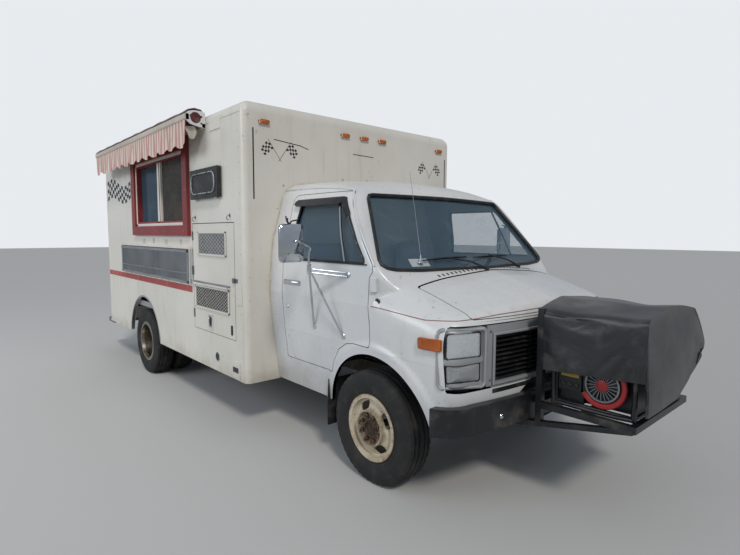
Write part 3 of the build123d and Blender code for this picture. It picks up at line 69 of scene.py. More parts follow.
class Look:
    """A procedural material: a base colour with layers mixed over it, roughness and bump."""

    def __init__(self, name, base, rough=0.5, metal=0.0, **sockets):
        self.mat = bpy.data.materials.new(name)
        self.mat.use_nodes = True
        self.tree = self.mat.node_tree
        self.bsdf = self.tree.nodes["Principled BSDF"]
        self.coord = self.node("TexCoord", "Object", {})
        self.colour, self.rough, self.metal, self.height = srgb(base), rough, metal, None
        self.plug(self.bsdf, {key.replace("_", " "): value for key, value in sockets.items()})

    def plug(self, node, inputs):
        for key, value in inputs.items():
            if isinstance(value, bpy.types.NodeSocket):
                self.tree.links.new(value, node.inputs[key])
            else:
                node.inputs[key].default_value = value

    def node(self, kind, out, inputs, **settings):
        node = self.tree.nodes.new("ShaderNode" + kind)
        for key, value in settings.items():
            setattr(node, key, value)
        self.plug(node, inputs)
        return node.outputs[out]

    def noise(self, scale, detail=4.0, rough=0.55, stretch=(1, 1, 1), warp=0.0):
        place = self.node("Mapping", "Vector", {"Vector": self.coord, "Scale": stretch})
        return self.node("TexNoise", "Fac", {"Vector": place, "Scale": scale, "Detail": detail,
                                             "Roughness": rough, "Distortion": warp})

    def cells(self, scale):
        return self.node("TexVoronoi", "Distance", {"Vector": self.coord, "Scale": scale})

    def wave(self, scale, axis):
        return self.node("TexWave", "Fac", {"Vector": self.coord, "Scale": scale}, bands_direction=axis)

    def axis(self, k):
        return self.node("SeparateXYZ", k, {0: self.coord})

    def step(self, value, low, high):
        """0 at low and 1 at high, eased between them."""
        return self.node("MapRange", "Result", {"Value": value, "From Min": low, "From Max": high},
                         interpolation_type="SMOOTHSTEP")

    def math(self, kind, a, b=0.0):
        return self.node("Math", 0, {0: a, 1: b}, operation=kind)

    def times(self, a, b):
        return self.math("MULTIPLY", a, b)

    def blend(self, a, b, mask):
        return self.node("Mix", 0, {"Factor": mask, 2: a, 3: b}, data_type="FLOAT")

    def over(self, colour, mask, amount=1.0, rough=None, metal=None):
        """A layer of another colour where the mask is 1."""
        if amount != 1.0:
            mask = self.times(mask, amount)
        self.colour = self.node("Mix", 2, {"Factor": mask, 6: self.colour, 7: srgb(colour)}, data_type="RGBA")
        if rough is not None:
            self.rough = self.blend(self.rough, rough, mask)
        if metal is not None:
            self.metal = self.blend(self.metal, metal, mask)
        return self

    def shade(self, dark, scale=1.2, detail=3.0, amount=1.0):
        return self.over(dark, self.step(self.noise(scale, detail), 0.35, 0.7), amount)

    def worn(self, spread=0.12, scale=9.0):
        """Roughness that varies a little over the surface."""
        part = self.times(self.math("SUBTRACT", self.noise(scale, 5.0), 0.5), spread * 2)
        self.rough = self.math("ADD", self.rough, part)
        return self

    def bump(self, value, distance, strength=1.0):
        inputs = {"Distance": distance, "Strength": strength, "Height": value}
        if self.height is not None:
            inputs["Normal"] = self.height
        self.height = self.node("Bump", "Normal", inputs)
        return self

    def done(self):
        self.plug(self.bsdf, {"Base Color": self.colour, "Roughness": self.rough, "Metallic": self.metal})
        if self.height is not None:
            self.plug(self.bsdf, {"Normal": self.height})
        return self.mat


def paint(name, base, dark, rough=0.34, grime="8a8172", low=0.45, high=0.95, coat=0.35, rust=0.0, streak=0.15):
    """Aged vehicle paint: uneven colour, grime that rises from below, rain streaks and specks."""
    look = Look(name, base, rough, Coat_Weight=coat, Coat_Roughness=0.18)
    look.shade(dark, 0.9, 4.0, 0.8)
    look.over(grime, look.step(look.noise(14.0, 6.0, stretch=(1, 1, 0.10)), 0.52, 0.80), streak, rough=0.6)
    wet = look.math("ADD", look.step(look.axis(2), high, low), look.times(look.noise(5.0, 6.0), 0.9))
    look.over(grime, look.step(wet, 0.85, 1.6), 0.55, rough=0.7)
    dots = look.times(look.step(look.cells(38.0), 0.115, 0.06), look.step(look.noise(2.2, 3.0), 0.5, 0.62))
    look.over("6e5a48", dots, 0.6, rough=0.8)
    if rust:
        spots = look.step(look.noise(26.0, 8.0, 0.7), 0.60, 0.68)
        look.over("7a4424", look.times(spots, look.step(look.noise(1.7, 2.0), 0.5, 0.6)), rust, rough=0.85)
    look.worn(0.10, 7.0)
    look.bump(look.noise(90.0, 2.0), 0.0008, 0.35)
    look.bump(look.noise(2.6, 2.0), 0.004, 0.12)
    return look.done()


def metal(name, base, dark, rough=0.25, spread=0.12, scale=12.0, grime=0.15, bump=0.0006, rust=0.0, metallic=1.0):
    look = Look(name, base, rough, metallic)
    look.shade(dark, scale * 0.4, 4.0, 0.8)
    look.over("5b5247", look.step(look.noise(scale, 6.0), 0.56, 0.75), grime, rough=0.65, metal=0.3)
    if rust:
        mask = look.step(look.noise(scale * 1.6, 8.0, 0.7), 0.60 - 0.1 * rust, 0.72)
        look.over("6d3a1e", mask, min(1.0, rust), rough=0.9, metal=0.0)
    look.worn(spread, scale)
    look.bump(look.noise(scale * 9, 3.0), bump, 0.4)
    return look.done()


def plastic(name, base, dark, rough=0.55, scale=6.0, dust=0.15, bump=0.0008, bump_scale=140.0):
    look = Look(name, base, rough)
    look.shade(dark, scale * 0.5, 4.0, 0.8)
    look.over("8d857a", look.step(look.noise(scale * 2, 6.0), 0.5, 0.75), dust, rough=0.85)
    look.worn(0.10, scale)
    look.bump(look.noise(bump_scale, 3.0), bump, 0.5)
    return look.done()


def pane(name, tint, see, rough):
    """Thin glass: a tinted pane that lets light through, with dust over it."""
    look = Look(name, tint, rough, IOR=1.5)
    dust = look.step(look.noise(7.0, 7.0, 0.65), 0.50, 0.90)
    look.over("aeb4b4", dust, 0.5)
    look.bump(look.noise(2.0, 2.0), 0.002, 0.05)
    look.plug(look.bsdf, {"Alpha": look.math("ADD", look.times(dust, 0.12), see)})
    return look.done()


def lens(name, base, dark, clear, rough=0.18, scale=6.0, ribs=(190.0, "Z"), depth=0.0008, strength=0.6, wear=8.0):
    """Ribbed lamp lens."""
    look = Look(name, base, rough, Transmission_Weight=clear, IOR=1.49)
    look.shade(dark, scale).bump(look.wave(*ribs), depth, strength)
    return look.worn(0.05, wear).done()


# ---------------------------------------------------------------- building meshes
class Piece:
    """Gathers faces with their materials, and makes one object of them."""

    def __init__(self):
        self.v, self.f, self.m = [], [], []

    def mesh(self, verts, faces, mat=0):
        start = len(self.v)
        self.v.extend(tuple(map(float, v)) for v in verts)
        self.f.extend(tuple(start + int(i) for i in face) for face in faces)
        self.m.extend([mat] * len(faces))
        return self

    def box(self, x0, x1, y0, y1, z0, z1, mat=0):
        (x0, x1), (y0, y1), (z0, z1) = sorted((x0, x1)), sorted((y0, y1)), sorted((z0, z1))
        v = [(x, y, z) for z in (z0, z1) for x, y in ((x0, y0), (x1, y0), (x1, y1), (x0, y1))]
        f = [(3, 2, 1, 0), (4, 5, 6, 7), (0, 1, 5, 4), (1, 2, 6, 5), (2, 3, 7, 6), (3, 0, 4, 7)]
        return self.mesh(v, f, mat)

    def loft(self, rings, caps=True, loop=False):
        """Rings of equal length joined in turn."""
        n, count = len(rings[0]), len(rings)
        f = []
        for i in range(count if loop else count - 1):
            a, b = i * n, ((i + 1) % count) * n
            f += [(a + j, a + (j + 1) % n, b + (j + 1) % n, b + j) for j in range(n)]
        if caps and not loop:
            f.append(tuple(range(n - 1, -1, -1)))
            f.append(tuple((count - 1) * n + j for j in range(n)))
        return self.mesh([p for ring in rings for p in ring], f)

    def strip(self, rows):
        """Open grid of points."""
        n = len(rows[0])
        f = [(i * n + j, i * n + j + 1, (i + 1) * n + j + 1, (i + 1) * n + j)
             for i in range(len(rows) - 1) for j in range(n - 1)]
        return self.mesh([p for row in rows for p in row], f)

    def tube(self, points, r, n=12, soft=0, loop=False, flat=1.0):
        """A round bar along points, eased by soft steps between them."""
        pts = [Vector(p) for p in points]
        if soft:
            pts = smooth_line(pts, soft, loop)
        rings = []
        count = len(pts)
        side = None
        for i, p in enumerate(pts):
            if loop:
                run = (pts[(i + 1) % count] - pts[i - 1]).normalized()
            else:
                run = (pts[min(i + 1, count - 1)] - pts[max(i - 1, 0)]).normalized()
            if side is None:
                first = Vector((0, 0, 1)) if abs(run.z) < 0.9 else Vector((1, 0, 0))
                side = first.cross(run).normalized()
            side = (side - run * side.dot(run)).normalized()
            other = run.cross(side)
            rr = r[i] if hasattr(r, "__len__") else r
            rings.append([p + side * (rr * math.cos(a)) + other * (rr * flat * math.sin(a))
                          for a in (TURN * k / n for k in range(n))])
        return self.loft(rings, True, loop)

    def lathe(self, profile, centre, axis=ACROSS, n=36, closed=False):
        """Profile of (radius, place along the axis) turned round it."""
        axis = Vector(axis).normalized()
        first = Vector((0, 0, 1)) if abs(axis.z) < 0.9 else Vector((1, 0, 0))
        a = axis.cross(first).normalized()
        b = axis.cross(a)
        c = Vector(centre)
        rings = [[c + axis * h + (a * math.cos(t) + b * math.sin(t)) * max(r, 1e-5)
                  for t in (TURN * k / n for k in range(n))] for r, h in profile]
        return self.loft(rings, not closed, closed)

    def dome(self, place, rect, steps):
        """Stacked rounded rectangles: steps are (scale, out) pairs and place(a, b, out) puts a point."""
        outline = round_rect(*rect)
        return self.loft([[place(a * s, b * s, out) for a, b in outline] for s, out in steps])

    def make(self, name, mats, body="chassis", replaces=(), bevel=0.0, angle=35.0, slot=None, flip=True):
        mesh = bpy.data.meshes.new(name)
        mesh.from_pydata(self.v, [], self.f)
        mesh.validate()
        for mat in mats if isinstance(mats, (list, tuple)) else [mats]:
            mesh.materials.append(mat)
        if len(mesh.polygons) == len(self.m):
            mesh.polygons.foreach_set("material_index", self.m)
        ob = bpy.data.objects.new(name, mesh)
        scene.collection.objects.link(ob)
        if flip:
            bm = bmesh.new()
            bm.from_mesh(mesh)
            bmesh.ops.recalc_face_normals(bm, faces=bm.faces)
            bm.to_mesh(mesh)
            bm.free()
        mesh.shade_smooth()
        mesh.set_sharp_from_angle(angle=math.radians(angle))
        if bevel:
            add_bevel(ob, bevel)
        return dress(ob, body, replaces)


def add_bevel(ob, width):
    mod = ob.modifiers.new("edge", "BEVEL")
    mod.width = width
    mod.segments = 2
    mod.limit_method = "ANGLE"
    mod.angle_limit = math.radians(40)
    mod.harden_normals = True


def dress(ob, body, replaces=()):
    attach(ob, body)
    if replaces:
        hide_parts(*replaces)
    return ob


def smooth_line(pts, steps, loop=False):
    """Catmull-Rom points through pts."""
    out = []
    n = len(pts)
    for i in range(n if loop else n - 1):
        p0 = pts[(i - 1) % n] if loop or i else pts[0]
        p1 = pts[i]
        p2 = pts[(i + 1) % n]
        p3 = pts[(i + 2) % n] if loop or i + 2 < n else pts[-1]
        for k in range(steps):
            t = k / steps
            out.append(0.5 * ((2 * p1) + (p2 - p0) * t + (2 * p0 - 5 * p1 + 4 * p2 - p3) * t * t
                              + (3 * p1 - p0 - 3 * p2 + p3) * t ** 3))
    return out if loop else out + [pts[-1]]


def round_rect(w, h, r, n=6):
    """Outline of a rounded rectangle about the origin, as (a, b) pairs."""
    out = []
    for k, (sx, sy) in enumerate(((1, 1), (-1, 1), (-1, -1), (1, -1))):
        for i in range(n + 1):
            a = math.radians(90 * k + 90 * i / n)
            out.append((sx * (w / 2 - r) + r * math.cos(a), sy * (h / 2 - r) + r * math.sin(a)))
    return out


def arc(n, start, sweep):
    """n + 1 angles in radians, from degrees."""
    return [math.radians(start + sweep * k / n) for k in range(n + 1)]


def finish_node(name, mat, bevel=0.0):
    """A CAD node keeps its shape and takes a better material."""
    ob = nodes[name]
    ob.data.materials.clear()
    ob.data.materials.append(mat)
    ob.data.shade_smooth()
    ob.data.set_sharp_from_angle(angle=math.radians(28))
    if bevel:
        add_bevel(ob, bevel)


# ---------------------------------------------------------------- the cab's surface
def smax(a, b, k):
    h = np.clip(0.5 + 0.5 * (a - b) / k, 0, 1)
    return b * (1 - h) + a * h + k * h * (1 - h)


SIDE_Z = [0.20, 0.45, 0.66, 0.893, 0.90, 1.187, 1.195, 1.44, 1.59, 1.80, 1.955, 2.2]
SIDE_Y = [0.928, 0.928, 0.955, 0.985, 0.987, 1.009, 1.008, 0.993, 0.974, 0.915, 0.875, 0.78]
CROWN_X = [-0.6, 0.06, 0.20, 0.35, 0.56, 0.70, 0.76]
CROWN_Z = [1.418, 1.412, 1.398, 1.356, 1.286, 1.238, 1.208]
ROOF_X = [-1.3, -0.9, -0.6, -0.42, -0.28, -0.1]
ROOF_Z = [2.104, 2.096, 2.070, 2.040, 1.995, 1.92]
ARCH_R = 0.480
ARCH_X, ARCH_Z = 0.025, 0.390


def hull(p):
    """Signed distance, about, to the cab's outer surface, negative inside."""
    x = p[:, 0] - FAX
    y = np.abs(p[:, 1])
    z = p[:, 2]
    side = y - np.interp(z, SIDE_Z, SIDE_Y)
    flare = np.clip((0.575 - np.hypot(x - ARCH_X, z - ARCH_Z)) / 0.05, 0, 1)
    tumble = np.interp(x, [-9, 0.35, 0.50, 0.60, 0.80], [0, 0, 0.004, 0.02, 0.05])
    side_low = side + tumble - 0.016 * flare * flare * (3 - 2 * flare)
    front = x - (0.765 - 0.122 * (y / 0.85) ** 2 * 0.72) + 0.10 * np.clip(z - 1.0, 0, 1) ** 1.5
    lean = np.interp(x, [-0.30, 0.02, 0.25, 0.50, 0.75], [0, 0.03, 0.22, 0.50, 0.62])
    shoulder = ((y - 1.006) + lean * (z - 1.187)) / np.sqrt(1 + lean ** 2)
    top = z - (np.interp(x, CROWN_X, CROWN_Z) - 0.045 * np.minimum(y, 0.32) - 0.060 * (y / 0.8) ** 2.8)
    low = smax(smax(side_low, shoulder, 0.03), top, np.interp(x, [-0.1, 0.1], [0.03, 0.16]))
    low = smax(low, front, 0.075)
    roof = z - (np.interp(x, ROOF_X, ROOF_Z) - 0.055 * (y / 0.76) ** 2.2)
    screen = ((x - 0.18) + 0.10 * (y / 1.05) ** 2 + 0.8077 * (z - 1.40)) / 1.285
    tuck = 0.10 * np.clip((x - 0.02) / 0.18, 0, 1) * np.clip((1.44 - z) / 0.16, 0, 1)
    high = smax(smax(side + tuck, roof, 0.11), screen, 0.035)
    high = smax(high, np.interp(x, [-0.16, -0.04, 0.06, 0.2], [0.2, 0.9, 1.22, 1.27]) - z, 0.06)
    ease = np.clip((x + 0.02) / 0.14, 0, 1) * np.clip((z - 1.22) / 0.12, 0, 1)
    return -smax(-low, -high, 0.003 + 0.045 * ease)


def hull_normal(p, e=2e-3):
    g = np.stack([hull(p + np.array(v) * e) - hull(p - np.array(v) * e)
                  for v in ((1, 0, 0), (0, 1, 0), (0, 0, 1))], 1)
    return g / np.linalg.norm(g, axis=1, keepdims=True)


def cast(origin, ray, near=0.15, far=1.7):
    """Where rays from inside leave the surface."""
    a = np.full(len(ray), near)
    b = np.full(len(ray), far)
    for _ in range(34):
        mid = (a + b) / 2
        inside = hull(origin + ray * mid[:, None]) < 0
        a = np.where(inside, mid, a)
        b = np.where(inside, b, mid)
    return origin + ray * ((a + b) / 2)[:, None]


def poly_inside(points, outline):
    """Signed distance to a closed outline, positive inside."""
    a = np.array(outline, float)
    d = np.roll(a, -1, 0) - a
    p = points[:, None, :]
    t = np.clip(((p - a) * d).sum(2) / (d * d).sum(1), 0, 1)
    gap = np.linalg.norm(p - (a + t[..., None] * d), axis=2).min(1)
    cross = ((a[:, 1] > p[..., 1]) != (np.roll(a, -1, 0)[:, 1] > p[..., 1]))
    with np.errstate(divide="ignore", invalid="ignore"):
        where = a[:, 0] + (p[..., 1] - a[:, 1]) * d[:, 0] / d[:, 1]
    inside = (cross & (p[..., 0] < where)).sum(1) % 2 == 1
    return np.where(inside, gap, -gap)


def clip_tris(v, tris, value):
    """Keeps the part of a triangle mesh where value is above 0."""
    value = np.where(np.abs(value) < 1e-6, 1e-6, value)
    keep = value > 0
    new_v = list(v)
    made = {}

    def cut(i, j):
        key = (min(i, j), max(i, j))
        if key not in made:
            t = value[i] / (value[i] - value[j])
            made[key] = len(new_v)
            new_v.append(v[i] + (v[j] - v[i]) * t)
        return made[key]

    full = keep[tris].all(1)
    out = list(map(tuple, tris[full]))
    for a, b, c in tris[keep[tris].any(1) & ~full]:
        ring = []
        for i, j in ((a, b), (b, c), (c, a)):
            if keep[i]:
                ring.append(i)
            if keep[i] != keep[j]:
                ring.append(cut(i, j))
        out += [(ring[0], ring[k], ring[k + 1]) for k in range(1, len(ring) - 1)]
    new_v = np.array(new_v)
    out = np.array(out, int).reshape(-1, 3)
    used = np.unique(out)
    index = np.full(len(new_v), -1)
    index[used] = np.arange(len(used))
    return new_v[used], index[out]


def drop_slivers(v, tris, size=2e-4):
    """Joins points closer than size and drops the faces that vanish."""
    key = np.round(v / size).astype(np.int64)
    _, first, back = np.unique(key, axis=0, return_index=True, return_inverse=True)
    tris = back.reshape(-1)[tris]
    good = (tris[:, 0] != tris[:, 1]) & (tris[:, 1] != tris[:, 2]) & (tris[:, 2] != tris[:, 0])
    return v[first], tris[good]


def shell_piece(name, fields, thick, body, replaced):
    """The cab's skin where all the fields are above 0: the skin, the same moved inwards, and walls between."""
    v, tris = skin_v, skin_t
    for field in fields:
        v, tris = clip_tris(v, tris, field(v))
    v, tris = drop_slivers(v, tris)
    n = hull_normal(v)
    count = len(v)
    edges = dict.fromkeys(e for a, b, c in tris for e in ((a, b), (b, c), (c, a)))
    rim = [e for e in edges if (e[1], e[0]) not in edges]
    faces = [tuple(t) for t in tris]
    faces += [(c + count, b + count, a + count) for a, b, c in tris]
    faces += [(b, a, a + count, b + count) for a, b in rim]
    mesh = bpy.data.meshes.new(name)
    mesh.from_pydata(np.vstack([v, v - n * thick]).tolist(), [], [tuple(map(int, f)) for f in faces])
    for mat in (white, inner_white):
        mesh.materials.append(mat)
    inside = np.zeros(len(faces), int)
    inside[len(tris):2 * len(tris)] = 1
    mesh.polygons.foreach_set("material_index", inside)
    mesh.shade_smooth()
    mesh.set_sharp_from_angle(angle=math.radians(38))
    loops = np.zeros(len(mesh.loops), int)
    mesh.loops.foreach_get("vertex_index", loops)
    per_loop = np.vstack([n, -n])[loops]
    # Walls keep their own flat normals
    k = 2 * len(tris) * 3
    for a, b in rim:
        w = np.cross(n[a], v[b] - v[a])
        per_loop[k:k + 4] = w / (np.linalg.norm(w) + 1e-9)
        k += 4
    mesh.normals_split_custom_set([tuple(x) for x in per_loop])
    ob = bpy.data.objects.new(name, mesh)
    scene.collection.objects.link(ob)
    return dress(ob, body, [replaced])


def hull_grid():
    """The cab's whole surface as triangles, from a grid over the passenger side and its mirror image."""
    core_x, core_z = 2.245, 0.95
    fine = np.radians(np.linspace(-33, 90, 500))
    ray = np.stack([0 * fine, -np.cos(fine), np.sin(fine)], 1)
    spread = 0
    for x in (1.3, 2.15):
        line = cast(np.array([[x, 0.0, core_z]]), ray)
        run = np.concatenate([[0], np.cumsum(np.linalg.norm(np.diff(line, axis=0), axis=1))])
        spread = spread + run / run[-1]
    rows = np.interp(np.linspace(0, spread[-1], 150), spread, fine)
    creases = [math.atan2(z - core_z, np.interp(z, SIDE_Z, SIDE_Y))
               for z in (0.889, 0.893, 0.900, 0.905, 1.180, 1.187, 1.195, 1.202)]
    rows = np.array(sorted([r for r in rows if min(abs(r - c) for c in creases) > 0.006] + creases))
    grid = []
    ray = np.stack([0 * rows, -np.cos(rows), np.sin(rows)], 1)
    for x in np.concatenate([np.linspace(0.793, 1.90, 66), np.linspace(1.915, core_x, 26)]):
        grid.append(cast(np.array([[x, 0.0, core_z]]), ray))
    for turn in np.concatenate([np.linspace(1.6, 56, 46), np.linspace(57.5, 90, 18)]):
        t = math.radians(turn)
        fan = np.stack([0 * rows + math.sin(t), -math.cos(t) * np.cos(rows), math.cos(t) * np.sin(rows)], 1)
        grid.append(cast(np.array([[core_x, 0.0, core_z]]), fan))
    grid = np.array(grid)
    m, n, _ = grid.shape
    i, j = np.meshgrid(np.arange(m - 1), np.arange(n - 1), indexing="ij")
    a = (i * n + j).ravel()
    quads = np.stack([a, a + n, a + n + 1, a + 1], 1)
    v = grid.reshape(-1, 3)
    v[np.abs(v[:, 1]) < 1e-5, 1] = 0.0
    tris = np.vstack([quads[:, [0, 1, 2]], quads[:, [0, 2, 3]]])
    tris = np.vstack([tris, tris[:, ::-1] + len(v)])
    return drop_slivers(np.vstack([v, v * [1, -1, 1]]), tris, 1e-4)


DOOR_EDGE = [(0.010, 0.915), (0.010, 1.370), (0.034, 1.400), (0.034, 1.440), (-0.054, 1.555), (-0.152, 1.683),
             (-0.270, 1.838), (-0.343, 1.944), (-0.955, 1.944), (-0.985, 1.936), (-1.008, 1.912), (-1.015, 1.880),
             (-1.015, 0.665), (-0.410, 0.665), (-0.385, 0.760), (-0.330, 0.845), (-0.240, 0.900), (-0.150, 0.915)]
SIDE_GLASS = [(-0.925, 1.470), (-0.918, 1.455), (-0.060, 1.455), (-0.046, 1.462), (-0.050, 1.475), (-0.350, 1.858),
              (-0.372, 1.872), (-0.865, 1.872), (-0.882, 1.862), (-0.895, 1.840)]
SCREEN_HALF = [(0.0, 1.402), (0.65, 1.404), (0.86, 1.414), (0.915, 1.428), (0.942, 1.448), (0.944, 1.470),
               (0.772, 1.875), (0.762, 1.896), (0.745, 1.910), (0.72, 1.916), (0.0, 1.922)]
SCREEN_EDGE = SCREEN_HALF + [(-y, z) for y, z in reversed(SCREEN_HALF[1:-1])]
HOOD_EDGE = [(0.235, -0.775), (0.238, -0.79), (0.25, -0.80), (0.90, -0.80), (0.90, 0.80), (0.25, 0.80),
             (0.238, 0.79), (0.235, 0.775)]
HOOD_Z = 1.160         # lower edge of the hood's sides
HOOD_BACK = 0.010      # the hood's rear edge stands off by this, to clear the cowl as it lifts
GRILLE_X = 0.600
PANEL_GAP = 0.0021     # half of the gap between panels


def in_side(v, side, outline):
    """Inside an outline drawn on one side of the cab."""
    return np.minimum(poly_inside(np.stack([v[:, 0] - FAX, v[:, 2]], 1), outline), v[:, 1] * side - 0.60)


def in_screen(v):
    return np.minimum(poly_inside(v[:, 1:3], SCREEN_EDGE), v[:, 0] - (FAX - 0.55))


def in_hood(v, back=0.0):
    return np.minimum(poly_inside(v[:, :2] - np.array([FAX + back, 0.0]), HOOD_EDGE), v[:, 2] - HOOD_Z)


def in_grille(v):
    return np.minimum(np.minimum(v[:, 2] - 0.752, 1.130 - v[:, 2]), v[:, 0] - (FAX + GRILLE_X))


def in_arch(v):
    return np.minimum(ARCH_R - np.hypot(v[:, 0] - FAX - ARCH_X, v[:, 2] - ARCH_Z), np.abs(v[:, 1]) - 0.6)


skin_v, skin_t = hull_grid()


# ---------------------------------------------------------------- studio
def node_input(node, key, value):
    node.inputs[key].default_value = value


cam_yaw, cam_pitch, cam_roll = map(math.radians, (138.41, -4.996, 0.218))
ahead = Vector((math.cos(cam_pitch) * math.cos(cam_yaw), math.cos(cam_pitch) * math.sin(cam_yaw),
                math.sin(cam_pitch)))
level = ahead.cross(Vector((0, 0, 1))).normalized()
upright = level.cross(ahead)
cam_right = math.cos(cam_roll) * level + math.sin(cam_roll) * upright
cam_up = -math.sin(cam_roll) * level + math.cos(cam_roll) * upright
cam_data = bpy.data.cameras.new("camera")
cam_data.sensor_width = 36.0
cam_data.sensor_fit = "HORIZONTAL"
cam_data.lens = 36.0 * 496.25 / 740.0
cam_data.clip_end = 200.0
cam = bpy.data.objects.new("camera", cam_data)
scene.collection.objects.link(cam)
cam.matrix_world = (Matrix.Translation((4.3498, -3.0730, 1.6429))
                    @ Matrix((cam_right, cam_up, -ahead)).transposed().to_4x4())
scene.camera = cam
scene.view_settings.view_transform = "Standard"

floor_mesh = bpy.data.meshes.new("floor")
floor_mesh.from_pydata([(-60, -60, 0), (60, -60, 0), (60, 60, 0), (-60, 60, 0)], [], [(0, 1, 2, 3)])
floor = bpy.data.objects.new("floor", floor_mesh)
scene.collection.objects.link(floor)
floor_mat = bpy.data.materials.new("floor_paper")
floor_mat.use_nodes = True
floor_bsdf = floor_mat.node_tree.nodes["Principled BSDF"]
node_input(floor_bsdf, "Base Color", (0.52, 0.52, 0.51, 1))
node_input(floor_bsdf, "Roughness", 0.95)
floor.data.materials.append(floor_mat)

world = bpy.data.worlds.new("studio")
world.use_nodes = True
wt = world.node_tree
sky = wt.nodes["Background"]
backdrop = wt.nodes.new("ShaderNodeBackground")
for shader, colour, strength in ((sky, (0.80, 0.88, 1.0, 1), 0.42), (backdrop, (0.80, 0.83, 0.86, 1), 1.0)):
    node_input(shader, 0, colour)
    node_input(shader, 1, strength)
which = wt.nodes.new("ShaderNodeLightPath")
pick = wt.nodes.new("ShaderNodeMixShader")
wt.links.new(which.outputs["Is Camera Ray"], pick.inputs[0])
wt.links.new(sky.outputs[0], pick.inputs[1])
wt.links.new(backdrop.outputs[0], pick.inputs[2])
wt.links.new(pick.outputs[0], wt.nodes["World Output"].inputs["Surface"])
scene.world = world


def lamp(name, kind, energy, place, target, colour, **shape):
    light = bpy.data.lights.new(name, kind)
    light.energy = energy
    light.color = colour
    for key, value in shape.items():
        setattr(light, key, value)
    ob = bpy.data.objects.new(name, light)
    ob.location = place
    ob.rotation_euler = (Vector(place) - Vector(target)).to_track_quat("Z", "Y").to_euler()
    scene.collection.objects.link(ob)


lamp("sun", "SUN", 1.35, (9.0, -4.5, 9.5), (0, 0, 0), (1.0, 0.95, 0.87), angle=math.radians(9))
lamp("soft_side", "AREA", 260, (-2.0, -9.0, 4.5), (0, 0, 1.3), (0.90, 0.95, 1.0), shape="RECTANGLE", size=6.0,
     size_y=6.0 * 0.6)


# ---------------------------------------------------------------- the finishes
white = paint("white_paint", "dcdcda", "c9ccd0", 0.30, rust=0.5, low=0.40, high=0.95)
cream = paint("box_paint", "dcd8cf", "cdc9bf", 0.42, grime="8b7f6b", low=0.30, high=0.80, coat=0.15, rust=0.55,
              streak=0.22)
inner_white = paint("inner_paint", "b9bbbb", "9fa3a6", 0.5, coat=0.0, low=0.3, high=0.6, streak=0.05)
frame_paint = plastic("frame_paint", "24221f", "3a322a", 0.7, dust=0.5)
rusty_iron = metal("rusty_iron", "4a4038", "2c2622", 0.6, rust=0.7, grime=0.4, metallic=0.6)
black_rubber = plastic("black_rubber", "17181a", "24262a", 0.62, dust=0.22, bump=0.0006)
seal_rubber = plastic("seal_rubber", "121314", "1e2022", 0.5, dust=0.15)
black_paint = plastic("black_paint", "14161a", "1f2227", 0.34, dust=0.22, scale=4.0)
black_plastic = plastic("black_plastic", "1a1b1d", "292b2e", 0.45, dust=0.18)
chrome = metal("chrome", "d6d9dc", "b4b8bd", 0.10, 0.06, grime=0.10, bump=0.0002, rust=0.12)
steel = metal("steel", "b9bcbd", "9ea2a5", 0.30, 0.10, 8.0, grime=0.18, bump=0.0006)
dull_steel = metal("dull_steel", "8f9296", "75787b", 0.42, 0.12, 9.0, grime=0.35)
aluminium = metal("aluminium", "c5c8ca", "aeb2b5", 0.34, 0.12, 7.0, grime=0.2)
argent = paint("argent", "a9acae", "96999c", 0.42, coat=0.1, low=0.7, high=0.8, streak=0.12)
node_input(argent.node_tree.nodes["Principled BSDF"], "Metallic", 0.35)
red_paint = paint("red_paint", "8a2a2a", "6b1f20", 0.42, coat=0.1, low=0.2, high=0.3, streak=0.2, grime="5a3a32")
red_stripe = paint("red_stripe", "b0504b", "98413e", 0.55, coat=0.0, low=0.2, high=0.3, streak=0.3,
                   grime="b9a99c")
amber = lens("amber_lens", "d5701a", "b4560e", 0.25)
red_lens = lens("red_lens", "a01414", "7c0d0d", 0.2)
clear_lens = lens("clear_lens", "d4d8da", "b8bdc0", 0.55, 0.12, 5.0, (120.0, "Y"), 0.0012, 0.7, 9.0)
lamp_glass = pane("lamp_glass", "dfe6ea", 0.30, 0.03)
reflector = metal("reflector", "e3e5e6", "c9ccce", 0.14, 0.05, grime=0.05)
window_glass = pane("window_glass", "5c7c90", 0.22, 0.015)
tyre_rubber = Look("tyre_rubber", "1c1c1d", 0.78)
tyre_rubber.over("4a4640", tyre_rubber.step(tyre_rubber.noise(11.0, 7.0), 0.45, 0.8), 0.55, rough=0.9)
tyre_rubber = tyre_rubber.worn(0.08, 9.0).bump(tyre_rubber.noise(160.0, 4.0), 0.0010, 0.5).done()
cloth_seat = plastic("seat_cloth", "a9adb3", "8c9096", 0.9, dust=0.1, bump=0.0012, bump_scale=420.0)
dash_plastic = plastic("dash_plastic", "5d656e", "474e56", 0.6, dust=0.12)
sealant = plastic("sealant", "c9c3b4", "a99f8b", 0.7, dust=0.3, scale=30)
black_ink = plastic("black_ink", "1c1c1e", "2b2b2d", 0.5, dust=0.2)
rear_wheel_look = metal("rear_wheel_bright", "9c968a", "6d675d", 0.32, 0.12, 10.0, grime=0.45, rust=0.35)

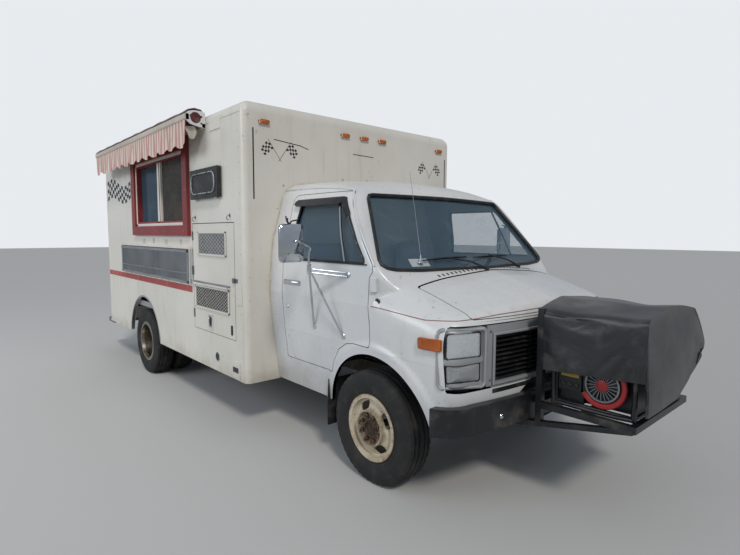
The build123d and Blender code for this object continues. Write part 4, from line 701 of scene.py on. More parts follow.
# Cream wheel paint, rusting round the hub, at the rim and in streaks
wheel = Look("front_wheel_paint", "c6bca8", 0.5)
wheel.shade("a99b80", 6.0, 5.0, 0.9)
off = [wheel.math("SUBTRACT", wheel.axis(k), at) for k, at in ((0, FAX), (2, HUB_Z))]
reach = wheel.math("SQRT", wheel.math("ADD", wheel.times(off[0], off[0]), wheel.times(off[1], off[1])))
reach = wheel.math("ADD", reach, wheel.times(wheel.math("SUBTRACT", wheel.noise(17.0, 7.0, 0.7), 0.5), 0.13))
wheel.over("5d4632", wheel.step(reach, 0.150, 0.085), 0.80, rough=0.85)
wheel.over("4a2c1c", wheel.step(reach, 0.100, 0.060), 0.85, rough=0.9)
wheel.over("6a4a33", wheel.step(reach, 0.205, 0.245), 0.75, rough=0.85)
wheel.over("6e4529", wheel.step(wheel.noise(30.0, 8.0, 0.75), 0.56, 0.66), 0.75, rough=0.9)
front_wheel_look = wheel.worn(0.10, 9.0).bump(wheel.noise(60.0, 5.0), 0.0012, 0.5).done()


# ---------------------------------------------------------------- cab shell, doors and hood
def above_sill(v):
    return v[:, 2] - np.interp(v[:, 0] - FAX, [-1.2, 0.45, 0.52, 0.8], [0.450, 0.450, 0.560, 0.560])


def outside_doors(v):
    return np.minimum(-in_side(v, 1, DOOR_EDGE), -in_side(v, -1, DOOR_EDGE)) - PANEL_GAP


shell_piece("cab_skin", [above_sill, lambda v: v[:, 0] - 0.7945, lambda v: -in_grille(v), outside_doors,
                         lambda v: -in_screen(v), lambda v: -in_hood(v) - PANEL_GAP, lambda v: -in_arch(v)],
            0.030, "chassis", "cab_body")
for side, tag in SIDES:
    shell_piece("door_skin_" + tag, [lambda v, s=side: in_side(v, s, DOOR_EDGE) - PANEL_GAP,
                                     lambda v, s=side: -in_side(v, s, SIDE_GLASS)],
                0.034, "door_" + tag, "door_" + tag)
shell_piece("hood_skin", [lambda v: in_hood(v) - PANEL_GAP, lambda v: in_hood(v, HOOD_BACK) - PANEL_GAP,
                          lambda v: -in_grille(v)], 0.018, "hood", "hood")


# ---------------------------------------------------------------- a chart of the nose: along the skin, up, and out
NOSE_Z = np.linspace(0.60, 1.20, 13)
nose_turn = np.radians(np.linspace(-12, 90, 220))
nose_rays = np.stack([np.sin(nose_turn), -np.cos(nose_turn), 0 * nose_turn], 1)
nose_rows = np.array([cast(np.array([[2.245, 0.0, z]]), nose_rays) for z in NOSE_Z])
nose_mid = nose_rows[6]
nose_arc = np.concatenate([[0], np.cumsum(np.linalg.norm(np.diff(nose_mid, axis=0), axis=1))])
nose_arc -= np.interp(0.0, nose_mid[:, 1], nose_arc)  # 0 at the centreline, negative on the passenger side


def nose(s, z, out=0.0, side=None):
    """A point of the nose: s along the skin from the centreline, height z, moved outwards."""
    if side is None:
        side = -1 if s < 0 else 1
    turn = np.interp(-abs(s), nose_arc, np.arange(len(nose_arc)))
    i = int(np.clip(turn, 0, len(nose_arc) - 2))
    t = turn - i
    j = np.clip((z - NOSE_Z[0]) / (NOSE_Z[1] - NOSE_Z[0]), 0, len(NOSE_Z) - 1.001)
    k = int(j)
    w = j - k
    p = (nose_rows[k][i] * (1 - t) + nose_rows[k][i + 1] * t) * (1 - w) + \
        (nose_rows[k + 1][i] * (1 - t) + nose_rows[k + 1][i + 1] * t) * w
    run = nose_mid[min(i + 3, len(nose_arc) - 1)] - nose_mid[max(i - 2, 0)]
    run = run / np.linalg.norm(run)
    n = np.array([run[1], -run[0], 0.0])
    if n[0] < 0 and abs(n[0]) > abs(n[1]):
        n = -n
    if n[1] > 0 and abs(n[1]) > abs(n[0]):
        n = -n
    q = np.array([p[0], p[1], z]) + n * out
    if side > 0:
        q[1] = -q[1]
    return Vector(q)


def arc_at(y):
    """Arc length where the nose is y from the centre."""
    return float(abs(np.interp(-abs(y), nose_mid[:, 1], nose_arc)))


def nose_ring(piece, s0, s1, z0, z1, r, steps, side):
    """Rounded rectangle on the nose; steps are (inset, out) pairs giving its section."""
    rings = []
    for inset, out in steps:
        w, h = abs(s1 - s0) - 2 * inset, abs(z1 - z0) - 2 * inset
        corner = min(max(r - inset, 0.002), w / 2 - 1e-4, h / 2 - 1e-4)
        rings.append([nose((s0 + s1) / 2 + a, (z0 + z1) / 2 + b, out, side) for a, b in round_rect(w, h, corner)])
    piece.loft(rings, False)


def nose_span(piece, s0, s1, n, section, side=None):
    """A section of (z, out) points carried along the nose from s0 to s1."""
    rings = []
    for k in range(n + 1):
        s = s0 + (s1 - s0) * k / n
        rings.append([nose(s, z, out, side) for z, out in section])
    piece.loft(rings)


def bar_section(z0, z1, out0, out1):
    return [(z0, out0), (z1, out0), (z1, out1), (z0, out1)]


def nose_bar(piece, s0, s1, z0, z1, out0, out1, side, n=10, crown=0.0):
    """A bar along the nose between two heights and two distances out."""
    section = [(z0, out0), (z1, out0), (z1, out1), ((z0 + z1) / 2, out1 + crown), (z0, out1)]
    nose_span(piece, s0, s1, n, section, side)


S_OUT = arc_at(0.975)         # outer edge of the lamp bezel, round the corner
S_IN = arc_at(0.712)          # inner edge of the bezel
S_GRILLE = S_IN + 0.018

bezels = Piece()
for side, tag in SIDES:
    # Raised outer rim of the bezel, its floor, and the bars between the lamps
    nose_ring(bezels, S_IN, S_OUT, 0.765, 1.122, 0.040,
              [(0.0, -0.030), (0.0, 0.006), (0.004, 0.012), (0.012, 0.014), (0.020, 0.009), (0.024, -0.012),
               (0.030, -0.016)], side)
    for s0, s1, z0, z1, out, n, crown in (
            (S_IN + 0.024, S_OUT - 0.024, 0.914, 0.948, -0.004, 10, 0.004),
            (S_IN + 0.024, S_OUT - 0.024, 0.786, 0.806, -0.012, 10, 0.0),
            (S_IN + 0.024, S_OUT - 0.024, 1.090, 1.104, -0.012, 10, 0.0),
            (S_OUT - 0.060, S_OUT - 0.022, 0.790, 1.100, -0.012, 3, 0.0),
            (S_IN + 0.022, S_IN + 0.040, 0.790, 1.100, -0.012, 3, 0.0)):
        nose_bar(bezels, s0, s1, z0, z1, -0.028, out, side, n, crown)
    # Plain strip between bezel and grille
    nose_bar(bezels, S_GRILLE - 0.062, S_IN - 0.002, 0.765, 1.122, -0.030, 0.002, side, 3)
surround = Piece()
rings = []
for inset, out in [(0.0, -0.030), (0.0, 0.010), (0.004, 0.014), (0.014, 0.014), (0.018, 0.008), (0.018, -0.030)]:
    s_lim = S_GRILLE - 0.066 - inset
    steps = [-s_lim + 2 * s_lim * k / 28 for k in range(29)]
    rings.append([nose(s, 0.768 + inset, out) for s in steps] + [nose(-s, 1.078 - inset, out) for s in steps])
surround.loft(rings, False)
# Header band above the grille and sill below it, full width
for z0, z1, out in ((1.078, 1.122, 0.003), (0.752, 0.767, 0.001)):
    nose_span(surround, 0.062 - S_GRILLE, S_GRILLE - 0.062, 40, bar_section(z0, z1, -0.03, out))
surround.make("grille_surround", argent, bevel=0.0015)
bezels.make("lamp_bezels", argent, bevel=0.0012)

slats = Piece()
for k in range(10):
    z = 0.800 + k * 0.0275
    nose_span(slats, 0.082 - S_GRILLE, S_GRILLE - 0.082, 30,
              [(z, -0.050), (z + 0.006, -0.050), (z + 0.0035, -0.006), (z - 0.0035, -0.006)])
for s in (-0.30, 0.0, 0.30):
    side = -1 if s < 0 else 1
    slats.loft([[nose(s + d, z, o, side) for d, o in ((-0.006, -0.052), (0.006, -0.052), (0.006, -0.012),
                                                      (-0.006, -0.012))] for z in (0.785, 1.065)])
slats.make("grille_slats", black_plastic)
back = Piece()
nose_span(back, 0.010 - S_OUT, S_OUT - 0.010, 40, bar_section(0.745, 1.135, -0.075, -0.060))
back.make("grille_back", black_plastic, replaces=["grille"], slot="argent")

bowls, glass, turn, gasket, screws = (Piece() for _ in range(5))
for side, tag in SIDES:
    s0, s1 = S_IN + 0.040, S_OUT - 0.060
    mid, wide = (s0 + s1) / 2, s1 - s0
    nose_ring(gasket, s0 - 0.004, s1 + 0.004, 0.944, 1.094, 0.022,
              [(0.0, -0.030), (0.0, -0.004), (0.008, -0.002), (0.010, -0.012)], side)
    nose_ring(gasket, s0 - 0.004, s1 + 0.004, 0.804, 0.916, 0.016,
              [(0.0, -0.030), (0.0, -0.008), (0.006, -0.006), (0.008, -0.012)], side)

    def head(a, b, out):
        return nose(mid + a, 1.019 + b, out, side)

    def low_lamp(a, b, out):
        return nose(mid + a, 0.860 + b, out, side)

    bowls.dome(head, (wide - 0.014, 0.134, 0.016),
               [(0.2 + 0.8 * t, -0.058 + 0.045 * t * t) for t in (k / 8 for k in range(9))])
    glass.dome(head, (wide - 0.010, 0.138, 0.018),
               [(1.0, -0.010), (0.985, -0.003), (0.9, 0.001), (0.6, 0.004), (0.25, 0.005)])
    turn.dome(low_lamp, (wide - 0.006, 0.098, 0.012),
              [(1.0, -0.016), (0.985, -0.009), (0.8, -0.006), (0.3, -0.005)])
    for z in (0.800, 1.086):
        q = nose(S_IN - 0.030, z, 0.002, side)
        screws.lathe([(0.0075, 0), (0.0075, 0.002), (0.005, 0.0035), (0.0, 0.0038)], q,
                     nose(S_IN - 0.030, z, 0.006, side) - q, 14)
bowls.make("headlamp_bowls", reflector)
glass.make("headlamp_glass", lamp_glass)
turn.make("turn_lamps", clear_lens)
gasket.make("lamp_gaskets", seal_rubber)
screws.make("bezel_screws", dull_steel)


# ---------------------------------------------------------------- CAD nodes that keep their shape
for mat, bevel, names in (
        (frame_paint, 0, "chassis_frame front_axle rear_axle engine_block knuckle_right knuckle_left"),
        (rusty_iron, 0, "exhaust"), (black_paint, 0.006, "front_bumper"), (black_paint, 0.003, "generator_frame"),
        (black_paint, 0.002, "generator"), (aluminium, 0, "box_floor"),
        (cream, 0, "box_side_right box_side_left box_front box_rear box_roof"),
        (cream, 0.002, "rear_door side_hatch"),
        (dull_steel, 0.003, "rear_bumper"), (red_paint, 0.003, "serving_window"), (steel, 0.002, "counter_shelf"),
        (window_glass, 0, "window_glass windshield door_glass_right door_glass_left"),
        (dash_plastic, 0.006, "dashboard"), (front_wheel_look, 0.002, "rim_front_right rim_front_left"),
        (rear_wheel_look, 0.002, "rim_rear_right rim_rear_left")):
    for name in names.split():
        finish_node(name, mat, bevel)


# ---------------------------------------------------------------- wheels and tyres
WALL = [(0.212, -0.070), (0.222, -0.084), (0.245, -0.096), (0.285, -0.1045), (0.320, -0.1030), (0.345, -0.0975),
        (0.358, -0.0915)]
HALF_TREAD = [(0.0885, 0.3660, 1), (0.086, 0.3700, 1), (0.066, 0.3740, 0), (0.062, 0.3640, 0), (0.056, 0.3640, 0),
              (0.052, 0.3755, 0), (0.030, 0.3768, 0), (0.026, 0.3660, 0), (0.020, 0.3660, 0), (0.016, 0.3775, 0)]
TREAD = [(-h, r, block) for h, r, block in HALF_TREAD] + HALF_TREAD[::-1]


def tyre(name, node, body, y0, x0):
    """Tyre with a ribbed tread: five ribs, sipes and shoulder blocks."""
    piece = Piece()
    n = 144
    rings = []
    for k in range(n):
        a = TURN * k / n
        ring = list(WALL)
        for h, r, block in TREAD:
            if block:
                ring.append((r - 0.006 if k % 3 == 0 else r, h))
            else:
                ring.append((r, h + 0.0016 * math.sin(TURN * 24 * k / n)))
        ring += [(r, -h) for r, h in reversed(WALL)] + [(0.206, 0.0)]
        rings.append([(x0 + r * math.cos(a), y0 + h, HUB_Z + r * math.sin(a)) for r, h in ring])
    piece.loft(rings, False, True)
    # Raised lines on both walls
    for way in (-1, 1):
        for r, h, w in ((0.252, 0.0985, 0.0022), (0.335, 0.1000, 0.0020), (0.300, 0.1042, 0.0014)):
            piece.lathe([(r - w, way * (h - 0.002)), (r, way * (h + 0.0006)), (r + w, way * (h - 0.002))],
                        (x0, y0, HUB_Z), ACROSS, 72, closed=True)
    piece.make(name, tyre_rubber, body, [node], angle=32, slot="tyre")


for side, tag in SIDES:
    tyre("front_tyre_" + tag, "tyre_front_" + tag, "wheel_front_" + tag, side * 0.885, FAX)
for side, tag in SIDES:
    for where, y in (("outer", 1.1175), ("inner", 0.8675)):
        tyre(f"rear_tyre_{tag}_{where}", f"tyre_rear_{tag}_{where}", "wheels_rear_" + tag, side * y, RAX)


def lug_nuts(piece, x, y, side, profile):
    for a in arc(7, 22.5, 315):
        piece.lathe(profile, (x + 0.084 * math.cos(a), y, HUB_Z + 0.084 * math.sin(a)), (0, side, 0), 6)


# Rusty lug nuts, rusty rims of the discs, and the bright liner of the deep rear wheels
for side, tag in SIDES:
    out = (0, side, 0)
    hub, lip, liner, nuts = (Piece() for _ in range(4))
    lug_nuts(hub, FAX, side * 0.962, side,
             [(0.014, 0.0), (0.014, 0.020), (0.011, 0.024), (0.006, 0.025), (0.006, 0.036), (0.0, 0.037)])
    hub.lathe([(0.052, -0.030), (0.052, 0.010), (0.047, 0.016), (0.040, 0.016), (0.036, 0.006), (0.0, 0.004)],
              (FAX, side * 0.972, HUB_Z), out, 32)
    hub.make("hub_nuts_" + tag, rusty_iron, "wheel_front_" + tag, angle=30)
    lip.lathe([(0.2225, -0.012), (0.2285, -0.006), (0.2290, 0.002), (0.2240, 0.004), (0.2180, 0.002),
               (0.2170, -0.008), (0.2205, -0.013)], (FAX, side * 0.974, HUB_Z), out, 72, closed=True)
    lip.make("rim_edge_front_" + tag, rusty_iron, "wheel_front_" + tag)
    liner.lathe([(0.2200, 0.0), (0.2270, 0.004), (0.2275, 0.011), (0.2190, 0.013), (0.2120, 0.008),
                 (0.2050, -0.010), (0.1980, -0.045), (0.1900, -0.090), (0.1860, -0.096), (0.1860, -0.102),
                 (0.1960, -0.102), (0.2080, -0.045)], (RAX, side * 1.196, HUB_Z), out, 96, closed=True)
    liner.make("rim_liner_" + tag, chrome, "wheels_rear_" + tag)
    lug_nuts(nuts, RAX, side * 1.062, side, [(0.014, -0.03), (0.014, 0.020), (0.011, 0.024), (0.0, 0.026)])
    nuts.make("rear_nuts_" + tag, rusty_iron, "wheels_rear_" + tag, angle=30)


# ---------------------------------------------------------------- box details, all on the serving side unless said
COUNTER_Y = -BOX_Y - 0.034     # the counter's outer face
HATCH_Y = -BOX_Y - 0.006       # the hatch's outer face


def plates(name, mat, rows, body="chassis", y=-BOX_Y, bevel=0.0, slot=None):
    """Flat plates on the box's side, as rows of x0, x1, z0, z1 and how far out each lies."""
    piece = Piece()
    for row in rows:
        plate(piece, *row, y=y)
    return piece.make(name, mat, body, bevel=bevel, slot=slot)


def plate(piece, x0, x1, z0, z1, out0, out1, y=-BOX_Y, mat=0):
    piece.box(fx(x0), fx(x1), y - out0, y - out1, z0, z1, mat)


def border(x0, x1, z0, z1, wx, wz):
    """Four bars that frame a rectangle."""
    return (x0, x1, z0, z0 + wz), (x0, x1, z1 - wz, z1), (x0, x0 + wx, z0, z1), (x1 - wx, x1, z0, z1)


def screw_heads(piece, spots, y, r, way=-1):
    for x, z in spots:
        piece.lathe([(r, 0), (r, 0.0015), (r * 0.6, 0.003), (0.0, 0.0033)], (fx(x), y, z), (0, way, 0), 10)
    return piece


plates("red_stripe", red_stripe, [(-5.120, -2.260, 1.085, 1.147, -0.001, 0.0006)], slot="red_paint")

# Corner trims and the seam rails of the box
trim = Piece()
for x in (-1.252, -5.123):
    plate(trim, x - 0.003, x + 0.003, 0.437, 2.590, -0.002, 0.0012)
for side in (-1, 1):
    trim.box(fx(-5.12), fx(-1.25), side * (BOX_Y - 0.002), side * (BOX_Y + 0.004), 2.586, 2.594)
for x0, x1 in ((-5.15, -4.226), (-3.190, -1.24)):
    for side in (-1, 1):
        trim.box(fx(x0), fx(x1), side * (BOX_Y - 0.02), side * (BOX_Y + 0.003), 0.437, 0.462)
trim.make("box_trims", cream, bevel=0.0015)

rivets = Piece()
for z in np.arange(0.52, 2.56, 0.12):
    for side in (-1, 1):
        screw_heads(rivets, [(-1.275, z), (-5.10, z)], side * (BOX_Y + 0.0002), 0.0045, side)
for x in np.arange(-5.0, -1.3, 0.15):
    for side in (-1, 1):
        screw_heads(rivets, [(x, 2.600)], side * (BOX_Y + 0.0002), 0.0045, side)
rivets.make("box_rivets", aluminium)

# Serving window: cream slider frame, mullion rails, insect screen, bar within
x0, x1, z0, z1 = -3.820, -2.370, 1.720, 2.425
plates("window_slider", cream, [(*b, -0.01, 0.014) for b in border(x0, x1, z0, z1, 0.034, 0.030)]
       + [(-3.105, -3.055, z0, z1, -0.02, 0.012), (-3.050, -3.030, z0 + 0.02, z1 - 0.02, -0.03, 0.006),
          (x0 + 0.03, x1 - 0.03, z0 + 0.028, z0 + 0.040, -0.01, 0.004)], bevel=0.003)
screen_mat = Look("insect_screen", "35322d", 0.7, Alpha=0.72)
screen_mat.shade("4a453d", 3.0, 3.0, 0.9).worn(0.1, 8.0).bump(screen_mat.wave(260.0, "X"), 0.001, 0.5)
plates("insect_screen", screen_mat.done(), [(-3.052, -2.405, 1.750, 2.395, -0.020, -0.018)])
plates("window_bar", aluminium, [(-2.66, -2.44, 2.072, 2.094, -0.030, -0.022)])
spots = [(x, 1.665) for x in np.arange(-3.86, -2.3, 0.25)]
spots += [(x, z) for x in (-3.885, -2.305) for z in (1.80, 2.05, 2.30)]
screw_heads(Piece(), spots, -BOX_Y - 0.0342, 0.007).make("window_screws", dull_steel)

# Counter: steel border, recessed panel, bright lip, post, cream strip below
plates("counter_border", steel, [(-4.388, -2.254, 1.462, 1.488, -0.002, 0.006),
                                 (-4.388, -2.254, 1.172, 1.196, -0.002, 0.006),
                                 (-4.388, -4.352, 1.172, 1.488, -0.002, 0.006),
                                 (-2.290, -2.254, 1.172, 1.488, -0.002, 0.006),
                                 (-4.350, -2.292, 1.262, 1.272, -0.002, 0.012)],
       "counter_shelf", COUNTER_Y, 0.003)
plates("counter_panel", dull_steel, [(-4.350, -2.292, 1.275, 1.460, -0.001, 0.0015),
                                     (-4.350, -2.292, 1.198, 1.260, -0.001, 0.0010)],
       "counter_shelf", COUNTER_Y, 0.001)
plates("counter_post", chrome, [(-2.248, -2.228, 1.180, 1.500, 0.0, 0.030)], bevel=0.003)
plates("counter_strip", cream, [(-4.39, -2.235, 1.150, 1.166, -0.001, 0.010)], bevel=0.002)
spots = [(x, 1.158) for x in np.arange(-4.3, -2.25, 0.18)]
screw_heads(Piece(), spots, -BOX_Y - 0.010, 0.005).make("counter_screws", dull_steel)

# Cream patches between window and counter
plates("filled_patches", sealant, [
    (x - w / 2, x + w / 2, z - h / 2, z + h / 2, -0.001, 0.0018) for x, z, w, h in (
    (-3.62, 1.555, 0.07, 0.05), (-3.30, 1.565, 0.05, 0.06), (-2.92, 1.555, 0.08, 0.05),
    (-2.52, 1.560, 0.06, 0.05))], bevel=0.0008)

# Hatch: two framed vents with expanded mesh, drip hood, latch, hooks, hasp
vents, mesh, dark = (Piece() for _ in range(3))
for x0, x1, z0, z1, cell, backing in (
        (-2.090, -1.520, 1.447, 1.660, 0.030, 1), (-2.170, -1.480, 0.963, 1.173, 0.026, 0)):
    for rect in border(x0, x1, z0, z1, 0.016, 0.016):
        plate(vents, *rect, -0.004, 0.006, HATCH_Y)
    nx = int((x1 - x0 - 0.032) / cell)
    nz = int((z1 - z0 - 0.032) / (cell * 0.55))
    px, pz = (x1 - x0 - 0.032) / nx, (z1 - z0 - 0.032) / nz
    for i in range(nx):
        for j in range(nz):
            a, c = x0 + 0.016 + px * i, z0 + 0.016 + pz * j
            rise = (i + j) % 2 == 0
            p = Vector((fx(a), HATCH_Y - 0.002, c if rise else c + pz))
            q = Vector((fx(a + px), HATCH_Y - 0.002, c + pz if rise else c))
            run = q - p
            wide = Vector((run.z, 0, -run.x)).normalized() * 0.0016
            strand = [p - wide, p + wide, q + wide, q - wide]
            mesh.mesh(strand + [v + Vector((0, 0.0015, 0)) for v in strand],
                      [(0, 1, 2, 3), (7, 6, 5, 4), (0, 4, 5, 1), (3, 2, 6, 7)])
    plate(dark, x0 + 0.008, x1 - 0.008, z0 + 0.008, z1 - 0.008, -0.002, 0.0006, HATCH_Y, backing)
vents.make("vent_frames", cream, "side_hatch", bevel=0.0015)
mesh.make("vent_mesh", cream, "side_hatch")
dark.make("vent_backs", [black_plastic, dull_steel], "side_hatch")
hood = Piece()
rings = []
for a in arc(8, 0, 90):
    outer = (-BOX_Y - 0.030 * math.sin(a), 1.182 + 0.028 * math.cos(a))
    inner = (-BOX_Y - 0.0285 * math.sin(a) + 0.001, 1.180 + 0.026 * math.cos(a))
    rings.append([(fx(x), *yz) for x, yz in ((-2.178, outer), (-1.472, outer), (-1.472, inner), (-2.178, inner))])
hood.loft(rings).make("vent_drip_hood", steel, "side_hatch")
plates("latch_plate", chrome, [(-1.888, -1.812, 0.808, 0.922, 0.008, 0.0125)], "side_hatch", bevel=0.003)
plates("latch_pocket", black_plastic, [(-1.873, -1.827, 0.822, 0.908, 0.0115, 0.0135)], "side_hatch", bevel=0.002)
latch = Piece().tube([(fx(-1.85), -BOX_Y - out, z) for out, z in ((0.016, 0.830), (0.024, 0.850), (0.024, 0.888),
                                                                  (0.014, 0.902))], 0.005, soft=4)
latch.make("latch_handle", chrome, "side_hatch")
bits = Piece()
for x in (-2.15, -1.45):
    bits.tube([(fx(x), -BOX_Y - out, z) for out, z in ((-0.001, 1.790), (0.020, 1.788), (0.030, 1.772),
                                                       (0.022, 1.755), (0.012, 1.758))], 0.0035, soft=4)
    plate(bits, x - 0.012, x + 0.012, 1.775, 1.805, -0.001, 0.003)
plate(bits, -1.43, -1.33, 1.245, 1.275, -0.001, 0.004)
plate(bits, -1.40, -1.37, 1.240, 1.280, 0.003, 0.016)
for z in (0.90, 1.30, 1.62):
    plate(bits, -2.236, -2.205, z - 0.04, z + 0.04, -0.001, 0.0035)
bits.make("hooks_and_hasp", dull_steel, bevel=0.001)
plates("hatch_gaskets", seal_rubber, [(-2.222, -1.383, 1.7335, 1.7365, -0.004, 0.0004),
                                      (-1.3835, -1.3805, 0.765, 1.735, -0.004, 0.0004),
                                      (-2.2245, -2.2215, 0.765, 1.735, -0.004, 0.0004),
                                      (-1.46, -1.435, 0.80, 0.88, 0.0, 0.006)])
filler = (fx(-1.736), -BOX_Y, 0.566)
Piece().lathe([(0.040, 0.0), (0.041, 0.004), (0.036, 0.006), (0.033, 0.002), (0.033, -0.012)], filler, (0, -1, 0),
              closed=True).make("filler_ring", chrome)
Piece().lathe([(0.034, 0.004), (0.033, -0.030), (0.0, -0.032)], filler, (0, -1, 0), 28).make(
    "filler_cup", black_plastic)
plates("housing_slot", black_plastic, [(-1.425, -1.325, 0.500, 0.545, 0.010, 0.0128)], bevel=0.002)

# Unlit sign: dark ring tube with clips, black board, bare plate over it
SIGN_X, SIGN_Z = -1.8625, 2.075
tube = [(fx(SIGN_X + a), -BOX_Y - 0.052, SIGN_Z + b) for a, b in round_rect(0.475, 0.172, 0.06, 8)]
Piece().tube(tube, 0.0055, 10, loop=True).make("sign_tube", clear_lens)
plates("sign_clips", black_plastic, [
    (SIGN_X + a - 0.005, SIGN_X + a + 0.005, SIGN_Z + b - 0.009, SIGN_Z + b + 0.009, 0.043, 0.060)
    for b in (0.086, -0.086) for a in (-0.10, 0.10)], bevel=0.001)
plates("sign_board", black_plastic, [(-2.143, -1.582, 1.947, 2.203, 0.006, 0.0452)], bevel=0.003)
plates("bare_plate", cream, [(-1.79, -1.59, 2.51, 2.62, -0.001, 0.008)], bevel=0.003)


# Chequered wave and crossed flags, painted on
def painted(name, cells, place, mat=black_ink):
    """Flat cells laid 0.7 mm over a surface."""
    piece = Piece()
    for quad in cells:
        piece.mesh([place(a, b, 0.0007) for a, b in quad], [(0, 1, 2, 3)])
    piece.make(name, mat, flip=False)


def on_box_front(y, z, lift):
    return (fx(BOX_FRONT) + lift, y, z)


def chequers(columns, rows, place):
    """The dark cells of a chequered pattern."""
    return [[place(a, b) for a, b in ((i, j), (i + 1, j), (i + 1, j + 1), (i, j + 1))]
            for i in range(columns) for j in range(rows) if (i + j) % 2 == 0]


def wave_place(a, b):
    u = a / 15
    z = 2.05 + 0.25 * b / 5 * (1 - 0.25 * u) + 0.055 * math.sin(TURN * (u * 1.1 + 0.05)) + 0.02 * u
    return (-5.06 + 1.15 * u, z)


def flag(y0, z0, way):
    """One chequered flag on a slanted staff."""
    c, d = math.cos(math.radians(36)), math.sin(math.radians(36))

    def place(a, b):
        fly, hoist = a * 0.0205, 0.098 + b * 0.0185 + 0.006 * math.sin(a * 1.3)
        return (y0 + way * (hoist * d + fly * c), z0 + hoist * c - fly * d)

    w = 0.0022
    staff = [(y0 + way * (h * d + o), z0 + h * c) for h, o in ((-0.02, -w), (-0.02, w), (0.185, w), (0.185, -w))]
    return chequers(5, 4, place) + [staff]


wave = chequers(15, 5, wave_place)
painted("chequered_wave", wave, lambda a, b, lift: (fx(a), -BOX_Y - lift, b))
painted("chequered_wave_left", wave, lambda a, b, lift: (fx(a), BOX_Y + lift, b))
flags = [cell for y0 in (-0.90, 0.91) for way in (-1, 1) for cell in flag(y0, 2.245, way)]
painted("crossed_flags", flags, on_box_front)
seams = [[(y - 0.006, z0), (y + 0.006, z0), (y + 0.006, z1), (y - 0.006, z1)]
         for y, z0, z1 in ((-1.14, 1.915, 2.468), (1.156, 1.915, 2.446))]
painted("front_seams", seams, on_box_front, seal_rubber)
painted("front_pinstripes", [[(y0, z0), (y1, z1), (y1, z1 + 0.007), (y0, z0 + 0.007)] for y0, z0, y1, z1 in (
    (-0.955, 2.395, -0.70, 2.372), (-0.13, 2.365, 0.12, 2.36), (-0.70, 2.372, -0.62, 2.350))], on_box_front)

# Clearance lamps at both ends of the box, and tail lamps
for name, x, mat, way in (("clearance_amber", BOX_FRONT, amber, 1), ("clearance_red", BOX_BACK, red_lens, -1)):
    piece = Piece()
    for y in (-1.045, -0.225, 0.0, 0.225, 1.045):
        piece.dome(lambda a, b, out: (fx(x) + way * out, y + a, 2.522 + b), (0.100, 0.034, 0.014, 5),
                   ((1.0, 0.0), (1.0, 0.014), (0.93, 0.0215), (0.6, 0.0245), (0.2, 0.0250)))
    piece.make(name, mat)
tail = Piece()
for side in (-1, 1):
    for z0, z1 in ((0.565, 0.665), (0.672, 0.795)):
        tail.dome(lambda a, b, out: (fx(BOX_BACK) - out, side * 1.05 + a, (z0 + z1) / 2 + b),
                  (0.102, z1 - z0, 0.012, 5), ((1.0, 0.0), (1.0, 0.036), (0.95, 0.043), (0.6, 0.047)))
tail.make("tail_lamps", red_lens)

# Sealant along the cab joint
line = arc(59, -20, 200)
pts = cast(np.array([[0.797, 0.0, 0.95]]), np.array([[0, math.cos(a), math.sin(a)] for a in line]))
radii = [0.005 + 0.005 * rng.random() for _ in line]
Piece().tube([tuple(p) for p in pts], radii, 8).make("cab_joint_sealant", sealant)
blobs = Piece()
for p in pts[8:52:2]:
    if rng.random() < 0.6:
        r = 0.006 + 0.010 * rng.random()
        blobs.lathe([(r, -0.001), (r * 0.9, 0.003), (r * 0.5, 0.006), (0.0, 0.007)],
                    (0.793, p[1] * 1.03 + 0.01 * rng.random(), p[2] + 0.02 + 0.03 * rng.random()), (1, 0, 0), 9)
blobs.make("sealant_blobs", sealant)

# Wheel arch edges of the box
arch = Piece()
for side in (-1, 1):
    arch.loft([[(RAX + r * math.cos(a), side * (BOX_Y + o), 0.39 + r * math.sin(a)) for r, o in (
        (0.514, -0.030), (0.530, 0.0002), (0.530, 0.0030), (0.518, 0.0050), (0.512, 0.0030), (0.512, -0.030))]
        for a in arc(48, -0.5, 181) if 0.39 + 0.52 * math.sin(a) >= 0.437])
arch.make("box_arch_edges", aluminium)

# Rear door: panel, handle and lock; blank number plate, step tread and ends
xr = fx(BOX_BACK)
door = Piece().box(xr - 0.0015, xr + 0.002, -0.395, 0.395, 0.870, 2.430)
for z0, z1 in ((0.95, 1.62), (1.72, 2.38)):
    door.loft([[(xr - out, y, (z0 + z1) / 2 + z) for y, z in round_rect(0.70 - inset, z1 - z0 - inset, 0.03, 4)]
               for out, inset in ((0.001, 0.0), (0.005, 0.004), (0.005, 0.016), (0.002, 0.022))])
door.make("rear_door_panel", cream, "rear_door", bevel=0.001)
grab = Piece()
grab.tube([(xr - out, -0.33, z) for out, z in ((0.002, 1.50), (0.040, 1.52), (0.040, 1.72), (0.002, 1.74))], 0.008,
          soft=4)
grab.box(xr - 0.012, xr, -0.375, -0.305, 1.30, 1.42)
grab.tube([(xr - 0.012, -0.340, 1.36), (xr - 0.034, -0.340, 1.36), (xr - 0.036, -0.26, 1.36)], 0.008, soft=3)
grab.make("rear_door_handle", chrome, "rear_door", bevel=0.002)
Piece().box(xr - 0.010, xr - 0.002, -0.79, -0.49, 0.700, 0.850).make("blank_number_plate", white, bevel=0.004)
Piece().box(xr - 0.003, xr + 0.001, -0.81, -0.47, 0.685, 0.865).make(
    "number_plate_frame", black_plastic, bevel=0.002)
tread = Piece()
step_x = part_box("rear_bumper")[0].x + 0.03
for i in range(56):
    for j in range(8):
        x, y = step_x + j * 0.028, -0.88 + i * 0.032
        w, d = 0.009, 0.003 if (i + j) % 2 else -0.003
        tread.mesh([(x - w, y - d, 0.4452), (x, y + 0.0022, 0.4466), (x + w, y + d, 0.4452),
                    (x, y - 0.0022, 0.4466)], [(0, 3, 2, 1)])
tread.make("step_tread", dull_steel, flip=False)
ends = Piece()
